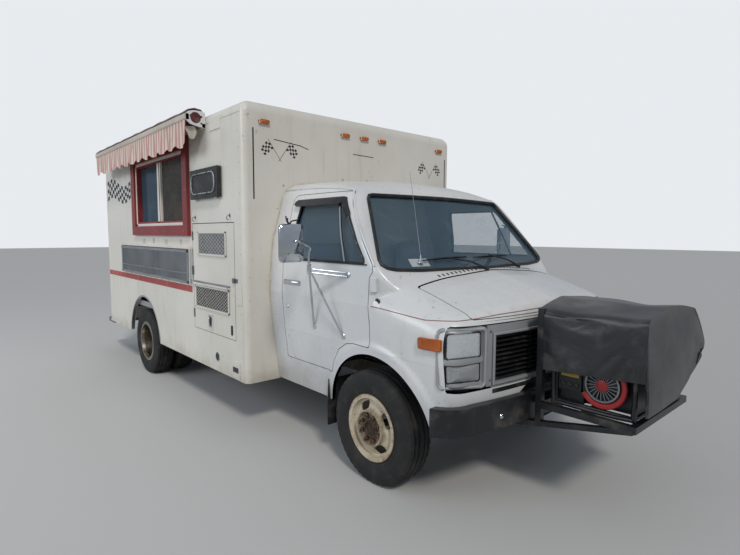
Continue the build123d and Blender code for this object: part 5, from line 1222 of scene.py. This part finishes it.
for side in (-1, 1):
    ends.box(fx(-5.45), xr - 0.030, side * 0.899, side * 1.18, 0.385, 0.445)
ends.make("step_bumper_ends", dull_steel, bevel=0.002)


# ---------------------------------------------------------------- cab trims
def edge_of_hull(place, inner, outer, steps):
    """The last number between inner and outer for which place(number) is still within the cab."""
    for _ in range(steps):
        mid = (inner + outer) / 2
        if hull(np.array([place(mid)]))[0] < 0:
            inner = mid
        else:
            outer = mid
    return inner, outer


def lifted(point, out):
    p = np.array([point])
    return Vector((p + hull_normal(p) * out)[0])


def on_hull(y, z, x_low=-0.6, x_high=0.9, out=0.0):
    """A point of the cab's surface ahead of x_low at a given place across and height."""
    xs = np.linspace(fx(x_high), fx(x_low), 400)
    k = int(np.argmax(hull(np.stack([xs, 0 * xs + y, 0 * xs + z], 1)) < 0))
    _, x = edge_of_hull(lambda m: (m, y, z), xs[k], xs[max(k - 1, 0)], 20)
    return lifted((x, y, z), out)


def on_side(x, z, side, out=0.0):
    """A point of the cab's side."""
    y, _ = edge_of_hull(lambda m: (fx(x), side * m, z), 0.5, 1.2, 30)
    return lifted((fx(x), side * y, z), out)


def on_top(x, y, out=0.0):
    """A point of the cab seen from above."""
    z, _ = edge_of_hull(lambda m: (fx(x), y, m), 1.0, 2.2, 34)
    return lifted((fx(x), y, z), out)


def dense(outline, n):
    """Points at even steps round a closed outline."""
    o = np.array(list(outline) + [outline[0]], float)
    run = np.concatenate([[0], np.cumsum(np.linalg.norm(np.diff(o, axis=0), axis=1))])
    t = np.linspace(0, run[-1], n, endpoint=False)
    return np.stack([np.interp(t, run, o[:, 0]), np.interp(t, run, o[:, 1])], 1)


Piece().tube([on_hull(y, z, -0.55, 0.45, 0.001) for y, z in dense(SCREEN_EDGE, 130)], 0.0165, 10, loop=True,
             flat=0.75).make("windshield_seal", seal_rubber)
for side, tag in SIDES:
    body = "door_" + tag

    def at(x, z, out=0.0):
        return on_side(x, z, side, out)

    Piece().tube([at(x, z, 0.0005) for x, z in dense(SIDE_GLASS, 110)], 0.0085, 8, loop=True, flat=0.8).make(
        "window_seal_" + tag, seal_rubber, body)
    vent = [at(-0.414, 1.868, 0.002), at(-0.33, 1.66, 0.002), at(-0.244, 1.458, 0.002)]
    Piece().tube(vent, 0.0085, 8, soft=4).make("vent_bar_" + tag, chrome, body)
    # Rain visor over the window
    rings = []
    for x in np.concatenate([np.linspace(-0.955, -0.36, 18), np.linspace(-0.345, -0.27, 5)]):
        top = 1.905 if x < -0.365 else 1.905 - (x + 0.365) * 1.30
        depth = 0.060 if -0.92 < x < -0.36 else 0.045
        rings.append([at(x, top - depth * drop, out) for drop, out in (
            (0, 0.004), (0.45, 0.022), (1, 0.030), (1, 0.027), (0.45, 0.018), (0, 0.0))])
    Piece().loft(rings).make("rain_visor_" + tag, black_plastic, body)
    # Door handle with its plate, and the lock
    handle = Piece()
    rings = []
    for k in range(13):
        lift = 0.030 * math.sin(math.pi * k / 12) ** 0.6 if 0 < k < 12 else 0.002
        x = -0.990 + 0.215 * k / 12
        rings.append([at(x, 1.275 + 0.010 * math.cos(a), max(0.0, lift + 0.004 * math.sin(a)))
                      for a in (TURN * i / 8 for i in range(8))])
    handle.loft(rings)
    handle.loft([[at(-0.880 + a, 1.272 + b, out) for a, b in round_rect(w, h, r, 5)]
                 for w, h, r, out in ((0.235, 0.040, 0.015, 0.001), (0.230, 0.035, 0.014, 0.005))])
    handle.make("door_handle_" + tag, chrome, body, angle=50)
    Piece().lathe([(0.014, -0.002), (0.014, 0.004), (0.011, 0.006), (0.005, 0.0062), (0.004, 0.004), (0.0, 0.004)],
                  at(-0.945, 1.080), (0, side, 0), 20).make("door_lock_" + tag, chrome, body)
    Piece().tube([at(x, 1.447, 0.003) for x in np.linspace(-0.99, -0.02, 24)], 0.005, 6).make(
        "belt_trim_" + tag, black_rubber, body)
    Piece().loft([[at(0.048 + a, 1.325 + b, out) for a, b in round_rect(0.040 - inset, 0.092 - inset, 0.008, 4)]
                  for out, inset in ((0.0, 0.0), (0.017, 0.0), (0.021, 0.004))]).make(
        "hinge_cover_" + tag, white, bevel=0.001)
    Piece().lathe([(0.021, -0.002), (0.021, 0.004), (0.017, 0.006), (0.015, 0.003), (0.0, 0.003)],
                  at(0.073, 1.22, -0.002), (0, side, 0), 24).make("round_cap_" + tag, black_rubber)
    line = [(-1.195, 1.996), (-0.80, 1.990), (-0.55, 1.975), (-0.40, 1.955), (-0.355, 1.945), (-0.31, 1.900),
            (-0.22, 1.780), (-0.10, 1.625), (0.0, 1.500), (0.045, 1.440)]
    Piece().tube([at(x, z, 0.004) for x, z in line], 0.0075, 8, soft=5).make("drip_rail_" + tag, white)
    Piece().dome(lambda a, b, out: at(0.519 + a, 1.0255 + b, out), (0.150, 0.066, 0.010, 5),
                 ((1.0, 0.0), (1.0, 0.016), (0.95, 0.024), (0.7, 0.027))).make("side_marker_" + tag, amber)

# Thin stripe along the crease, round the nose
pin = Piece()
for side in (-1, 1):
    pts = [on_side(x, float(np.interp(x, [0.03, 0.20, 0.46, 0.60], [1.187, 1.176, 1.153, 1.158])), side, 0.0008)
           for x in np.linspace(0.03, 0.60, 34)]
    for y in np.linspace(0.885, 0.0, 36):
        z = float(np.interp(y, [0.0, 0.15, 0.58, 0.885], [1.184, 1.183, 1.176, 1.158]))
        pts.append(on_hull(side * y, z, 0.3, 0.9, 0.0008))
    rows = []
    for p in pts:
        n = hull_normal(np.array([tuple(p)]))[0]
        rise = Vector((0, 0, 1)) - Vector(n) * n[2]
        rise.normalize()
        rows.append([p - rise * 0.0026 + Vector(n) * 0.0006, p + rise * 0.0026 + Vector(n) * 0.0006])
    pin.strip(rows)
pin.make("crease_pinstripe", plastic("pin_stripe", "8c5a4e", "7a4d44", 0.5, dust=0.2))

# Black strips: the shade in the gap under the hood's edge, painted on as a dark strip, and dark slots under the
# grille
slot = Piece()
# painted shade: a black strip on the skin where the gap under the hood's front edge lies in shadow
nose_span(slot, -0.80, 0.80, 40, bar_section(1.132, 1.146, -0.012, 0.0010))
slot.make("hood_gap_shade", black_plastic)
slot = Piece()
for side in (-1, 1):
    nose_bar(slot, 0.30, 0.66, 0.718, 0.744, -0.012, 0.0012, side)
slot.make("lower_slots", black_plastic)

# Wipers, antenna, cowl slots, sticker
arms, blades = Piece(), Piece()
for pivot, tip, b0, b1 in ((0.245, (-0.40, 1.470), (-0.62, 1.462), (-0.16, 1.476)),
                           (0.72, (0.10, 1.476), (-0.08, 1.470), (0.36, 1.470))):
    root = on_hull(pivot - 0.30, 1.388, -0.2, 0.5, 0.012)
    arms.tube([root, on_hull(pivot - 0.42, 1.430, -0.5, 0.5, 0.030), on_hull(*tip, -0.5, 0.5, 0.024)],
              [0.009, 0.006, 0.005], 8)
    arms.lathe([(0.016, -0.014), (0.016, 0.008), (0.010, 0.014), (0.0, 0.015)], root, (0.3, 0, 1), 16)
    for n, r, bow in ((12, 0.0055, 0.0), (8, 0.0035, 0.012)):
        blades.tube([on_hull(b0[0] + (b1[0] - b0[0]) * k / n, b0[1] + (b1[1] - b0[1]) * k / n, -0.5, 0.5,
                             0.010 + bow * math.sin(math.pi * k / n)) for k in range(n + 1)], r, 6)
arms.make("wiper_arms", black_plastic)
blades.make("wiper_blades", black_rubber)
antenna = Piece()
foot = on_top(0.10, -0.62)
antenna.tube([foot, foot + Vector((0, 0, 0.05))], [0.009, 0.004], 10)
antenna.tube([foot + Vector((0, 0, 0.04)), (fx(0.02), -0.650, 2.06)], [0.0022, 0.0014], 6)
antenna.lathe([(0.022, -0.004), (0.020, 0.006), (0.010, 0.014), (0.008, 0.022), (0.0, 0.024)],
              foot, (0, 0, 1), 20)
antenna.make("antenna", chrome)
cowl = Piece()
for k in range(26):
    y = -0.55 + 1.10 * k / 25
    a, b = on_top(0.192, y, 0.0012), on_top(0.216, y, 0.0012)
    w = Vector((0, 0.008, 0))
    cowl.mesh([a - w, b - w, b + w, a + w], [(0, 1, 2, 3)])
cowl.make("cowl_slots", black_plastic, flip=False)
Piece().strip([[on_hull(-0.70 + 0.16 * k / 4, 1.435 + 0.05 * j / 2, -0.5, 0.5, -0.010) for j in range(3)]
               for k in range(5)]).make("window_sticker", white, flip=False)

# Mirrors on their double stays, each with the stubs of a broken bracket
for side, tag in SIDES:
    body = "door_" + tag
    mx, my, mz = fx(-0.500), side * 1.250, 1.580
    sx, sy = fx(-0.472), side * 1.125
    Piece().dome(lambda a, b, out: (mx + 0.002 - out, my + a, mz + b), (0.190, 0.260, 0.034, 6),
                 ((0.55, -0.030), (0.86, -0.024), (0.985, -0.010), (1.0, 0.0), (1.0, 0.010), (0.955, 0.014),
                  (0.94, 0.010))).make("mirror_shell_" + tag, chrome, body)
    arm = Piece()
    arm.tube([(mx + 0.030, my, mz + 0.01), (sx + 0.015, side * 1.215, mz + 0.012),
              (sx, sy - side * 0.01, mz - 0.030), (sx, sy, mz - 0.075), (sx, sy, 1.400)], 0.0095, 12, soft=6)
    for x, z, r in ((-0.596, 0.972, 0.008), (-0.261, 0.948, 0.0075)):
        arm.tube([(sx, sy, 1.405), on_side(x, z, side, 0.006)], r, 10)
    for dz in (-0.012, 0.012):
        arm.tube([(sx, sy, 1.392 + dz), on_side(-0.200, 1.372 + dz, side, 0.006)], 0.0075, 10)
    arm.lathe([(0.014, -0.035), (0.015, -0.030), (0.015, 0.030), (0.014, 0.035)], (sx, sy, 1.400), (0, 0, 1), 16)
    for x, z in ((-0.596, 0.972), (-0.261, 0.948), (-0.200, 1.372)):
        arm.lathe([(0.020, -0.002), (0.020, 0.004), (0.012, 0.008), (0.0, 0.009)],
                  on_side(x, z, side), (0, side, 0), 18)
    arm.make("mirror_stays_" + tag, chrome, body)
    broken = Piece()
    for a, b, c in ((0.03, 0.05, 0.165), (-0.025, 0.03, 0.18), (0.0, -0.04, 0.155)):
        broken.tube([(mx + 0.005, my + side * 0.01, mz + 0.120),
                     (mx + 0.01 + a * 0.4, my + side * (0.02 + b * 0.4), mz + 0.145),
                     (mx + 0.01 + a, my + side * b, mz + c)], 0.005, 8, soft=3)
    broken.make("broken_bracket_" + tag, black_plastic, body)

# Mud flaps behind the front wheels, and the bumper's bolts
flap = Piece()
bolts = Piece()
bolt_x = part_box("front_bumper")[1][0] - 0.052
for side in (-1, 1):
    rings = []
    for k in range(9):
        x, z = fx(-0.462 - 0.012 * math.sin(k / 8 * 2.2)), 0.600 - 0.345 * k / 8
        rings.append([(x - back, side * y, z)
                      for back, y in ((0, 0.700), (0, 0.968), (0.006, 0.968), (0.006, 0.700))])
    flap.loft(rings)
    bolts.lathe([(0.016, -0.03), (0.016, 0.004), (0.012, 0.009), (0.0, 0.011)], (bolt_x, side * 0.66, 0.600),
                (1, 0, 0), 20)
flap.make("mud_flaps", black_rubber, bevel=0.001)
bolts.make("bumper_bolts", chrome)


# ---------------------------------------------------------------- awning: shield, bar, roll, valance, torn end
AW0, AW1 = fx(-4.850), fx(-1.880)
ROLL_Y, ROLL_Z = -1.312, 2.628
stripes = Look("awning_cloth", "cfc3b4", 0.85)
stripes.over("b98484", stripes.step(stripes.wave(4.4, "X"), 0.44, 0.56), 0.9)
stripes.over("94806f", stripes.step(stripes.noise(7.0, 6.0), 0.45, 0.8), 0.45)
stripes.over("4e4038", stripes.step(stripes.noise(22.0, 8.0, 0.7), 0.62, 0.78), 0.35)
stripes = stripes.worn(0.06, 9.0).bump(stripes.noise(300.0, 2.0), 0.0006, 0.4).done()
maroon = paint("awning_shield", "6a4a46", "53383a", 0.5, coat=0.05, low=0.1, high=0.2, streak=0.35,
               grime="9a8a80")
pale_bar = paint("awning_bar", "c4bcae", "a9a092", 0.45, coat=0.1, low=0.1, high=0.2, streak=0.4, rust=0.5)


def along_awning(n, inset, section):
    """A section(x, k) of (x, y, z) points carried from end to end of the awning."""
    x0, x1 = AW0 + inset, AW1 - inset
    return Piece().loft([section(x0 + (x1 - x0) * k / n, k) for k in range(n + 1)])


def shield_section(x, k):
    sag = 0.004 * math.sin(k * 1.3) * (0.3 + 0.7 * math.sin(k * 0.37) ** 2)
    return [(x, y, z + (sag if z > 2.6 else 0)) for y, z in (
        (-1.228, 2.588), (-1.232, 2.668), (-1.262, 2.700), (-1.320, 2.706), (-1.372, 2.690), (-1.402, 2.662),
        (-1.406, 2.655), (-1.396, 2.656), (-1.368, 2.682), (-1.319, 2.697), (-1.264, 2.691), (-1.238, 2.664),
        (-1.234, 2.588))]


def roll_section(x, k):
    ring = []
    for t in (TURN * i / 28 for i in range(28)):
        r = 0.057 + 0.0022 * math.sin(5 * t + k * 0.5) + 0.0016 * math.sin(11 * t - k * 0.9)
        ring.append((x, ROLL_Y + r * math.cos(t), ROLL_Z + r * math.sin(t)))
    return ring


along_awning(40, 0.004, shield_section).make("awning_shield", maroon, replaces=["awning"], slot="awning_cloth")
bar = along_awning(30, 0, lambda x, k: [(x, -1.388 + a, ROLL_Z + b)
                                        for a, b in round_rect(0.040, 0.052, 0.010, 4)])
bar.box(AW0, AW1, -1.256, -1.227, 2.547, 2.586).make("awning_front_bar", pale_bar, bevel=0.001)
dark_roll = plastic("awning_roll", "5e2b2e", "45201f", 0.85, dust=0.3, bump=0.001, bump_scale=200)
along_awning(60, 0.016, roll_section).make("awning_roll", dark_roll)
cap = Piece()
for x in (AW0, AW1 - 0.018):
    cap.loft([[(x + w, y, z) for y, z in (
        (-1.226, 2.548), (-1.226, 2.680), (-1.262, 2.689), (-1.322, 2.689), (-1.372, 2.676), (-1.398, 2.654),
        (-1.398, 2.604), (-1.360, 2.572), (-1.290, 2.556))] for w in (0, 0.018)])
cap.make("awning_end_plates", white, bevel=0.0025)
holes = Piece()
for y, z, r in ((-1.262, 2.640, 0.010), (-1.262, 2.585, 0.008), (-1.352, 2.640, 0.011), (-1.372, 2.612, 0.006)):
    holes.lathe([(r, 0.0), (r, 0.0012), (0.0, 0.0012)], (AW1, y, z), (1, 0, 0), 18)
holes.lathe([(0.046, 0.0), (0.046, 0.0022), (0.030, 0.004), (0.028, 0.002), (0.0, 0.002)], (AW1, ROLL_Y, ROLL_Z),
            (1, 0, 0), 30)
holes.make("end_plate_holes", dark_roll)


def cloth_sheet(name, rows, thick, mat, replaces=(), slot=None):
    """A thin closed sheet from a grid of points."""
    rows = [[Vector(p) for p in row] for row in rows]
    m, n = len(rows), len(rows[0])
    faces, backs = [], []
    for i in range(m):
        for j in range(n):
            a = rows[min(i + 1, m - 1)][j] - rows[max(i - 1, 0)][j]
            b = rows[i][min(j + 1, n - 1)] - rows[i][max(j - 1, 0)]
            out = a.cross(b)
            out.normalize()
            faces.append(rows[i][j] + out * thick / 2)
            backs.append(rows[i][j] - out * thick / 2)
    k = m * n
    f = []
    for a in (i * n + j for i in range(m - 1) for j in range(n - 1)):
        f += [(a, a + n, a + n + 1, a + 1), (k + a, k + a + 1, k + a + n + 1, k + a + n)]
    rim = list(range(n)) + [i * n + n - 1 for i in range(1, m)]
    rim += [(m - 1) * n + j for j in range(n - 2, -1, -1)] + [i * n for i in range(m - 2, 0, -1)]
    f += [(a, b, k + b, k + a) for a, b in zip(rim, rim[1:] + rim[:1])]
    return Piece().mesh(faces + backs, f).make(name, mat, replaces=replaces, angle=70, slot=slot)


def sheet_area(rows):
    total = 0.0
    for i in range(len(rows) - 1):
        for j in range(len(rows[0]) - 1):
            a, b, c, d = (Vector(rows[i + p][j + q]) for p, q in ((0, 0), (0, 1), (1, 1), (1, 0)))
            total += ((b - a).cross(c - a)).length / 2 + ((c - a).cross(d - a)).length / 2
    return total


def grid(m, n, point):
    """Rows of point(v, u), with v and u from 0 to 1 in m and n steps."""
    return [[point(i / m, j / n) for j in range(n + 1)] for i in range(m + 1)]


def valance_point(v, u):
    drop = 0.195 + 0.034 * abs(math.sin(math.pi * u * 13.0)) ** 0.7
    if u < 0.05:
        drop += 0.012 * (1 - u / 0.05)
    fold = 0.0055 * math.sin(TURN * u * 26) * v + 0.0075 * math.sin(TURN * u * 9.5 + 1.1) * v ** 1.3
    return (AW0 + 0.010 + (AW1 - AW0 - 0.020) * u, -1.3985 + fold - 0.003 * v, 2.604 - drop * v)


rows = grid(12, 260, valance_point)
valance = cloth_sheet("awning_valance_cloth", rows, 0.0016, stripes, ["awning_valance"], "awning_cloth")
area = sheet_area(rows)

# Torn whitish cloth at the right end of the roll
rows = grid(13, 8, lambda v, u: (AW1 - 0.045 + 0.014 * math.sin(5 * u + 2.6 * v) - 0.01 * v,
                                 -1.300 - 0.075 * u + 0.010 * math.sin(4 * v + u * 3),
                                 2.560 - 0.105 * v * (0.75 + 0.25 * math.sin(3.1 * u + 1.0))))
torn_cloth = plastic("torn_cloth", "c8c2b6", "a79f92", 0.9, dust=0.35, bump=0.0008, bump_scale=300)
torn = cloth_sheet("awning_torn_cloth", rows, 0.0014, torn_cloth)
area = sheet_area(rows)


# ---------------------------------------------------------------- generator cover: vinyl draped over the cradle
CX0, CX1 = fx(0.842), fx(1.452)
COVER_T = [0.0, 0.30, 0.335, 0.50, 0.60, 0.72, 0.76, 0.90, 1.0]
COVER_Y = [-0.396, -0.392, -0.376, -0.135, 0.11, 0.330, 0.365, 0.585, 0.455]
COVER_Z = [0.852, 1.185, 1.210, 1.268, 1.243, 1.214, 1.190, 0.960, 0.842]
HEM_Z = 0.700
vinyl = Look("vinyl", "15171b", 0.36, Coat_Weight=0.25, Coat_Roughness=0.3)
vinyl.shade("24272c", 2.2, 4.0, 0.9)
vinyl.over("85807a", vinyl.step(vinyl.noise(4.5, 7.0, 0.6), 0.48, 0.85), 0.45, rough=0.75)
dusty_top = vinyl.times(vinyl.step(vinyl.axis(2), 1.16, 1.25), vinyl.step(vinyl.noise(3.0, 5.0), 0.2, 0.8))
vinyl.over("9c968d", dusty_top, 0.45, rough=0.7)
vinyl.worn(0.10, 6.0).bump(vinyl.noise(240.0, 2.0), 0.0005, 0.35)
vinyl = vinyl.bump(vinyl.noise(5.0, 3.0, 0.5, (1.0, 0.6, 1.6), 0.8), 0.012, 0.5).done()


def cover_point(u, t):
    """The cover over the cradle: u from rear to front, t from the near hem over the top to the far hem."""
    near = [min(1, max(0, t + d)) for d in (-0.012, 0, 0.012)]
    y = sum(np.interp(near, COVER_T, COVER_Y)) / 3
    z = sum(np.interp(near, COVER_T, COVER_Z)) / 3
    arch_u = math.sin(math.pi * u)
    if t < 0.3:
        # The hem on the near side drops a little towards the rear; creases run out from the near top corner
        z += (0.3 - t) / 0.3 * 0.040 * (u - 0.25)
        y += -0.010 * math.sin(math.pi * t / 0.3) * arch_u + 0.004 * math.sin(9 * u + 14 * t)
        a = math.atan2((0.30 - t) * 1.2, 1.001 - u)
        y += 0.0045 * math.sin(a * 22) * min(1.0, 4 * (0.3 - t)) * (1 - abs(2 * u - 1) * 0.6)
    elif t < 0.76:
        z += 0.007 * math.sin(7.5 * u + 9 * t) * arch_u - 0.016 * arch_u * math.sin(math.pi * (t - 0.3) / 0.46)
        z += 0.004 * math.sin(21 * t - 5 * u)
    else:
        w = (t - 0.76) / 0.24
        y += 0.008 * math.sin(6 * u + 7 * w)
        z += 0.010 * math.sin(5 * u + 3) * w
    return (CX0 + 0.006 + (CX1 - CX0 - 0.012) * u, max(-0.399, min(0.586, y)), z)


def front_point(edge, w, t):
    """The cover's front panel: w from its top edge down to the hem."""
    _, y0, z0 = edge
    low = max(HEM_Z, min(z0, HEM_Z + 0.26 * max(0.0, t - 0.62) / 0.38))
    z = z0 - (z0 - low) * w
    if t < 0.30:
        z = HEM_Z + (z0 - HEM_Z) * (1 - w)
    x = CX1 - 0.006 + 0.006 * math.sin(math.pi * min(1, w * 3) / 2) + 0.004 * math.sin(8 * t + 5 * w) - 0.006
    x += 0.004 * math.sin(math.atan2(w, abs(t - 0.33) + 0.05) * 14) * w
    return (min(x, CX1 - 0.002), y0 + (0.03 - y0) * 0.10 * w, z)


rows = grid(60, 110, cover_point)
top_edge = rows[-1]
rows += [[front_point(top_edge[j], k / 25, j / 110) for j in range(111)] for k in range(1, 26)]
cover = cloth_sheet("generator_cover_vinyl", rows, 0.0030, vinyl, ["generator_cover"], "vinyl")
area = sheet_area(rows)

# ---------------------------------------------------------------- generator: recoil, cage, panel and label
gx, gy, gz = fx(1.202), -0.324, 0.812
fins = Piece()
for t in (TURN * k / 22 for k in range(22)):
    d = Vector((-math.sin(t), 0, math.cos(t))) * 0.0022
    a0 = Vector((gx + 0.034 * math.cos(t), gy, gz + 0.034 * math.sin(t)))
    a1 = Vector((gx + 0.084 * math.cos(t + 0.10), gy, gz + 0.084 * math.sin(t + 0.10)))
    root = [a0 - d, a0 + d, a1 + d, a1 - d]
    fins.mesh(root + [q + Vector((0, -0.007, 0)) for q in root],
              [(0, 1, 2, 3), (7, 6, 5, 4), (0, 4, 5, 1), (1, 5, 6, 2), (2, 6, 7, 3), (3, 7, 4, 0)])
fins.lathe([(0.090, 0.0), (0.096, 0.004), (0.096, 0.010), (0.086, 0.010), (0.083, 0.004)],
           (gx, gy, gz), (0, -1, 0), 48, closed=True)
fins.make("recoil_fins", dull_steel)
shroud = Piece().lathe([(0.034, 0.0), (0.034, 0.008), (0.028, 0.011), (0.010, 0.012), (0.0, 0.012)], (gx, gy, gz),
                       (0, -1, 0), 32)
shroud.loft([[(gx + r * math.cos(a), gy + 0.006 - out, gz + r * math.sin(a)) for r, out in (
    (0.104, 0.0), (0.132, 0.0), (0.134, 0.010), (0.128, 0.016), (0.108, 0.016), (0.102, 0.010))]
    for a in arc(40, -150, 200)])
engine_red = paint("engine_red", "b02222", "861a1a", 0.4, coat=0.2, low=0.5, high=0.6, streak=0.2, grime="4a3a34",
                   rust=0.3)
shroud.make("recoil_shroud", engine_red, bevel=0.001)
cage = Piece()
for y in (-0.345, 0.345):
    cage.tube([(fx(x), y, z) for x, z in (
        (0.930, 0.662), (0.928, 1.130), (0.960, 1.172), (1.340, 1.172), (1.378, 1.130), (1.378, 0.720),
        (1.335, 0.664), (0.970, 0.662))], 0.0135, soft=6, loop=True)
cage.make("generator_cage", black_paint)
panel = Piece().box(fx(0.948), fx(1.082), -0.3245, -0.3195, 0.742, 0.880)
for x in (0.975, 1.015, 1.055):
    panel.lathe([(0.016, 0.0), (0.016, 0.006), (0.012, 0.008), (0.0, 0.008)],
                (fx(x), -0.3245, 0.775), (0, -1, 0), 20)
panel.make("generator_panel", black_plastic, bevel=0.003)
Piece().box(fx(0.962), fx(1.068), -0.3256, -0.3243, 0.822, 0.868).make(
    "bare_label", plastic("label_yellow", "b89a2c", "92791f", 0.5, dust=0.4), bevel=0.001)
fins = Piece()
for z in (0.955 + 0.0125 * k for k in range(12)):
    fins.box(fx(1.12), fx(1.30), -0.250, -0.150, z, z + 0.004)
fins.make("cylinder_fins", dull_steel)


# ---------------------------------------------------------------- seats
def cushioned(x0, x1, z0, z1, side, narrow, seam_depth):
    """A padded block with soft corners: narrow is how far its ends draw in, front to back."""
    cx, cy, cz = fx((x0 + x1) / 2), side * 0.580, (z0 + z1) / 2
    rings = []
    for t in (-1 + 2 * i / 14 for i in range(15)):
        fat = (1 - abs(t) ** 5) ** 0.28 if abs(t) < 1 else 0.30
        ring = []
        for a in (TURN * k / 40 for k in range(40)):
            px, py = (math.copysign(abs(c) ** 0.42, c if c > 0 else -1) for c in (math.cos(a), math.sin(a)))
            seam = 1 - seam_depth * math.exp(-((abs(px) - 0.55) / 0.05) ** 2)
            ring.append((cx + (x1 - x0) / 2 * px * (1 - narrow + narrow * fat),
                         cy + 0.245 * py * (0.84 + 0.16 * fat), cz + (z1 - z0) / 2 * t * seam))
        rings.append(ring)
    return Piece().loft(rings)


for side, tag in SIDES:
    for part, shape in (("cushion", (-1.055, -0.570, 0.885, 1.018, side, 0.20, 0.05)),
                        ("back", (-1.138, -1.022, 0.905, 1.556, side, 0.35, 0.0))):
        ob = cushioned(*shape).make("seat_" + part + "_" + tag, cloth_seat, angle=80, slot="seat_cloth",
                                    replaces=["seats"] if (side, part) == (-1, "cushion") else ())
Piece().box(fx(-1.058), fx(-0.622), -0.778, 0.778, 0.6405, 0.879).make("seat_riser", black_plastic, bevel=0.012)
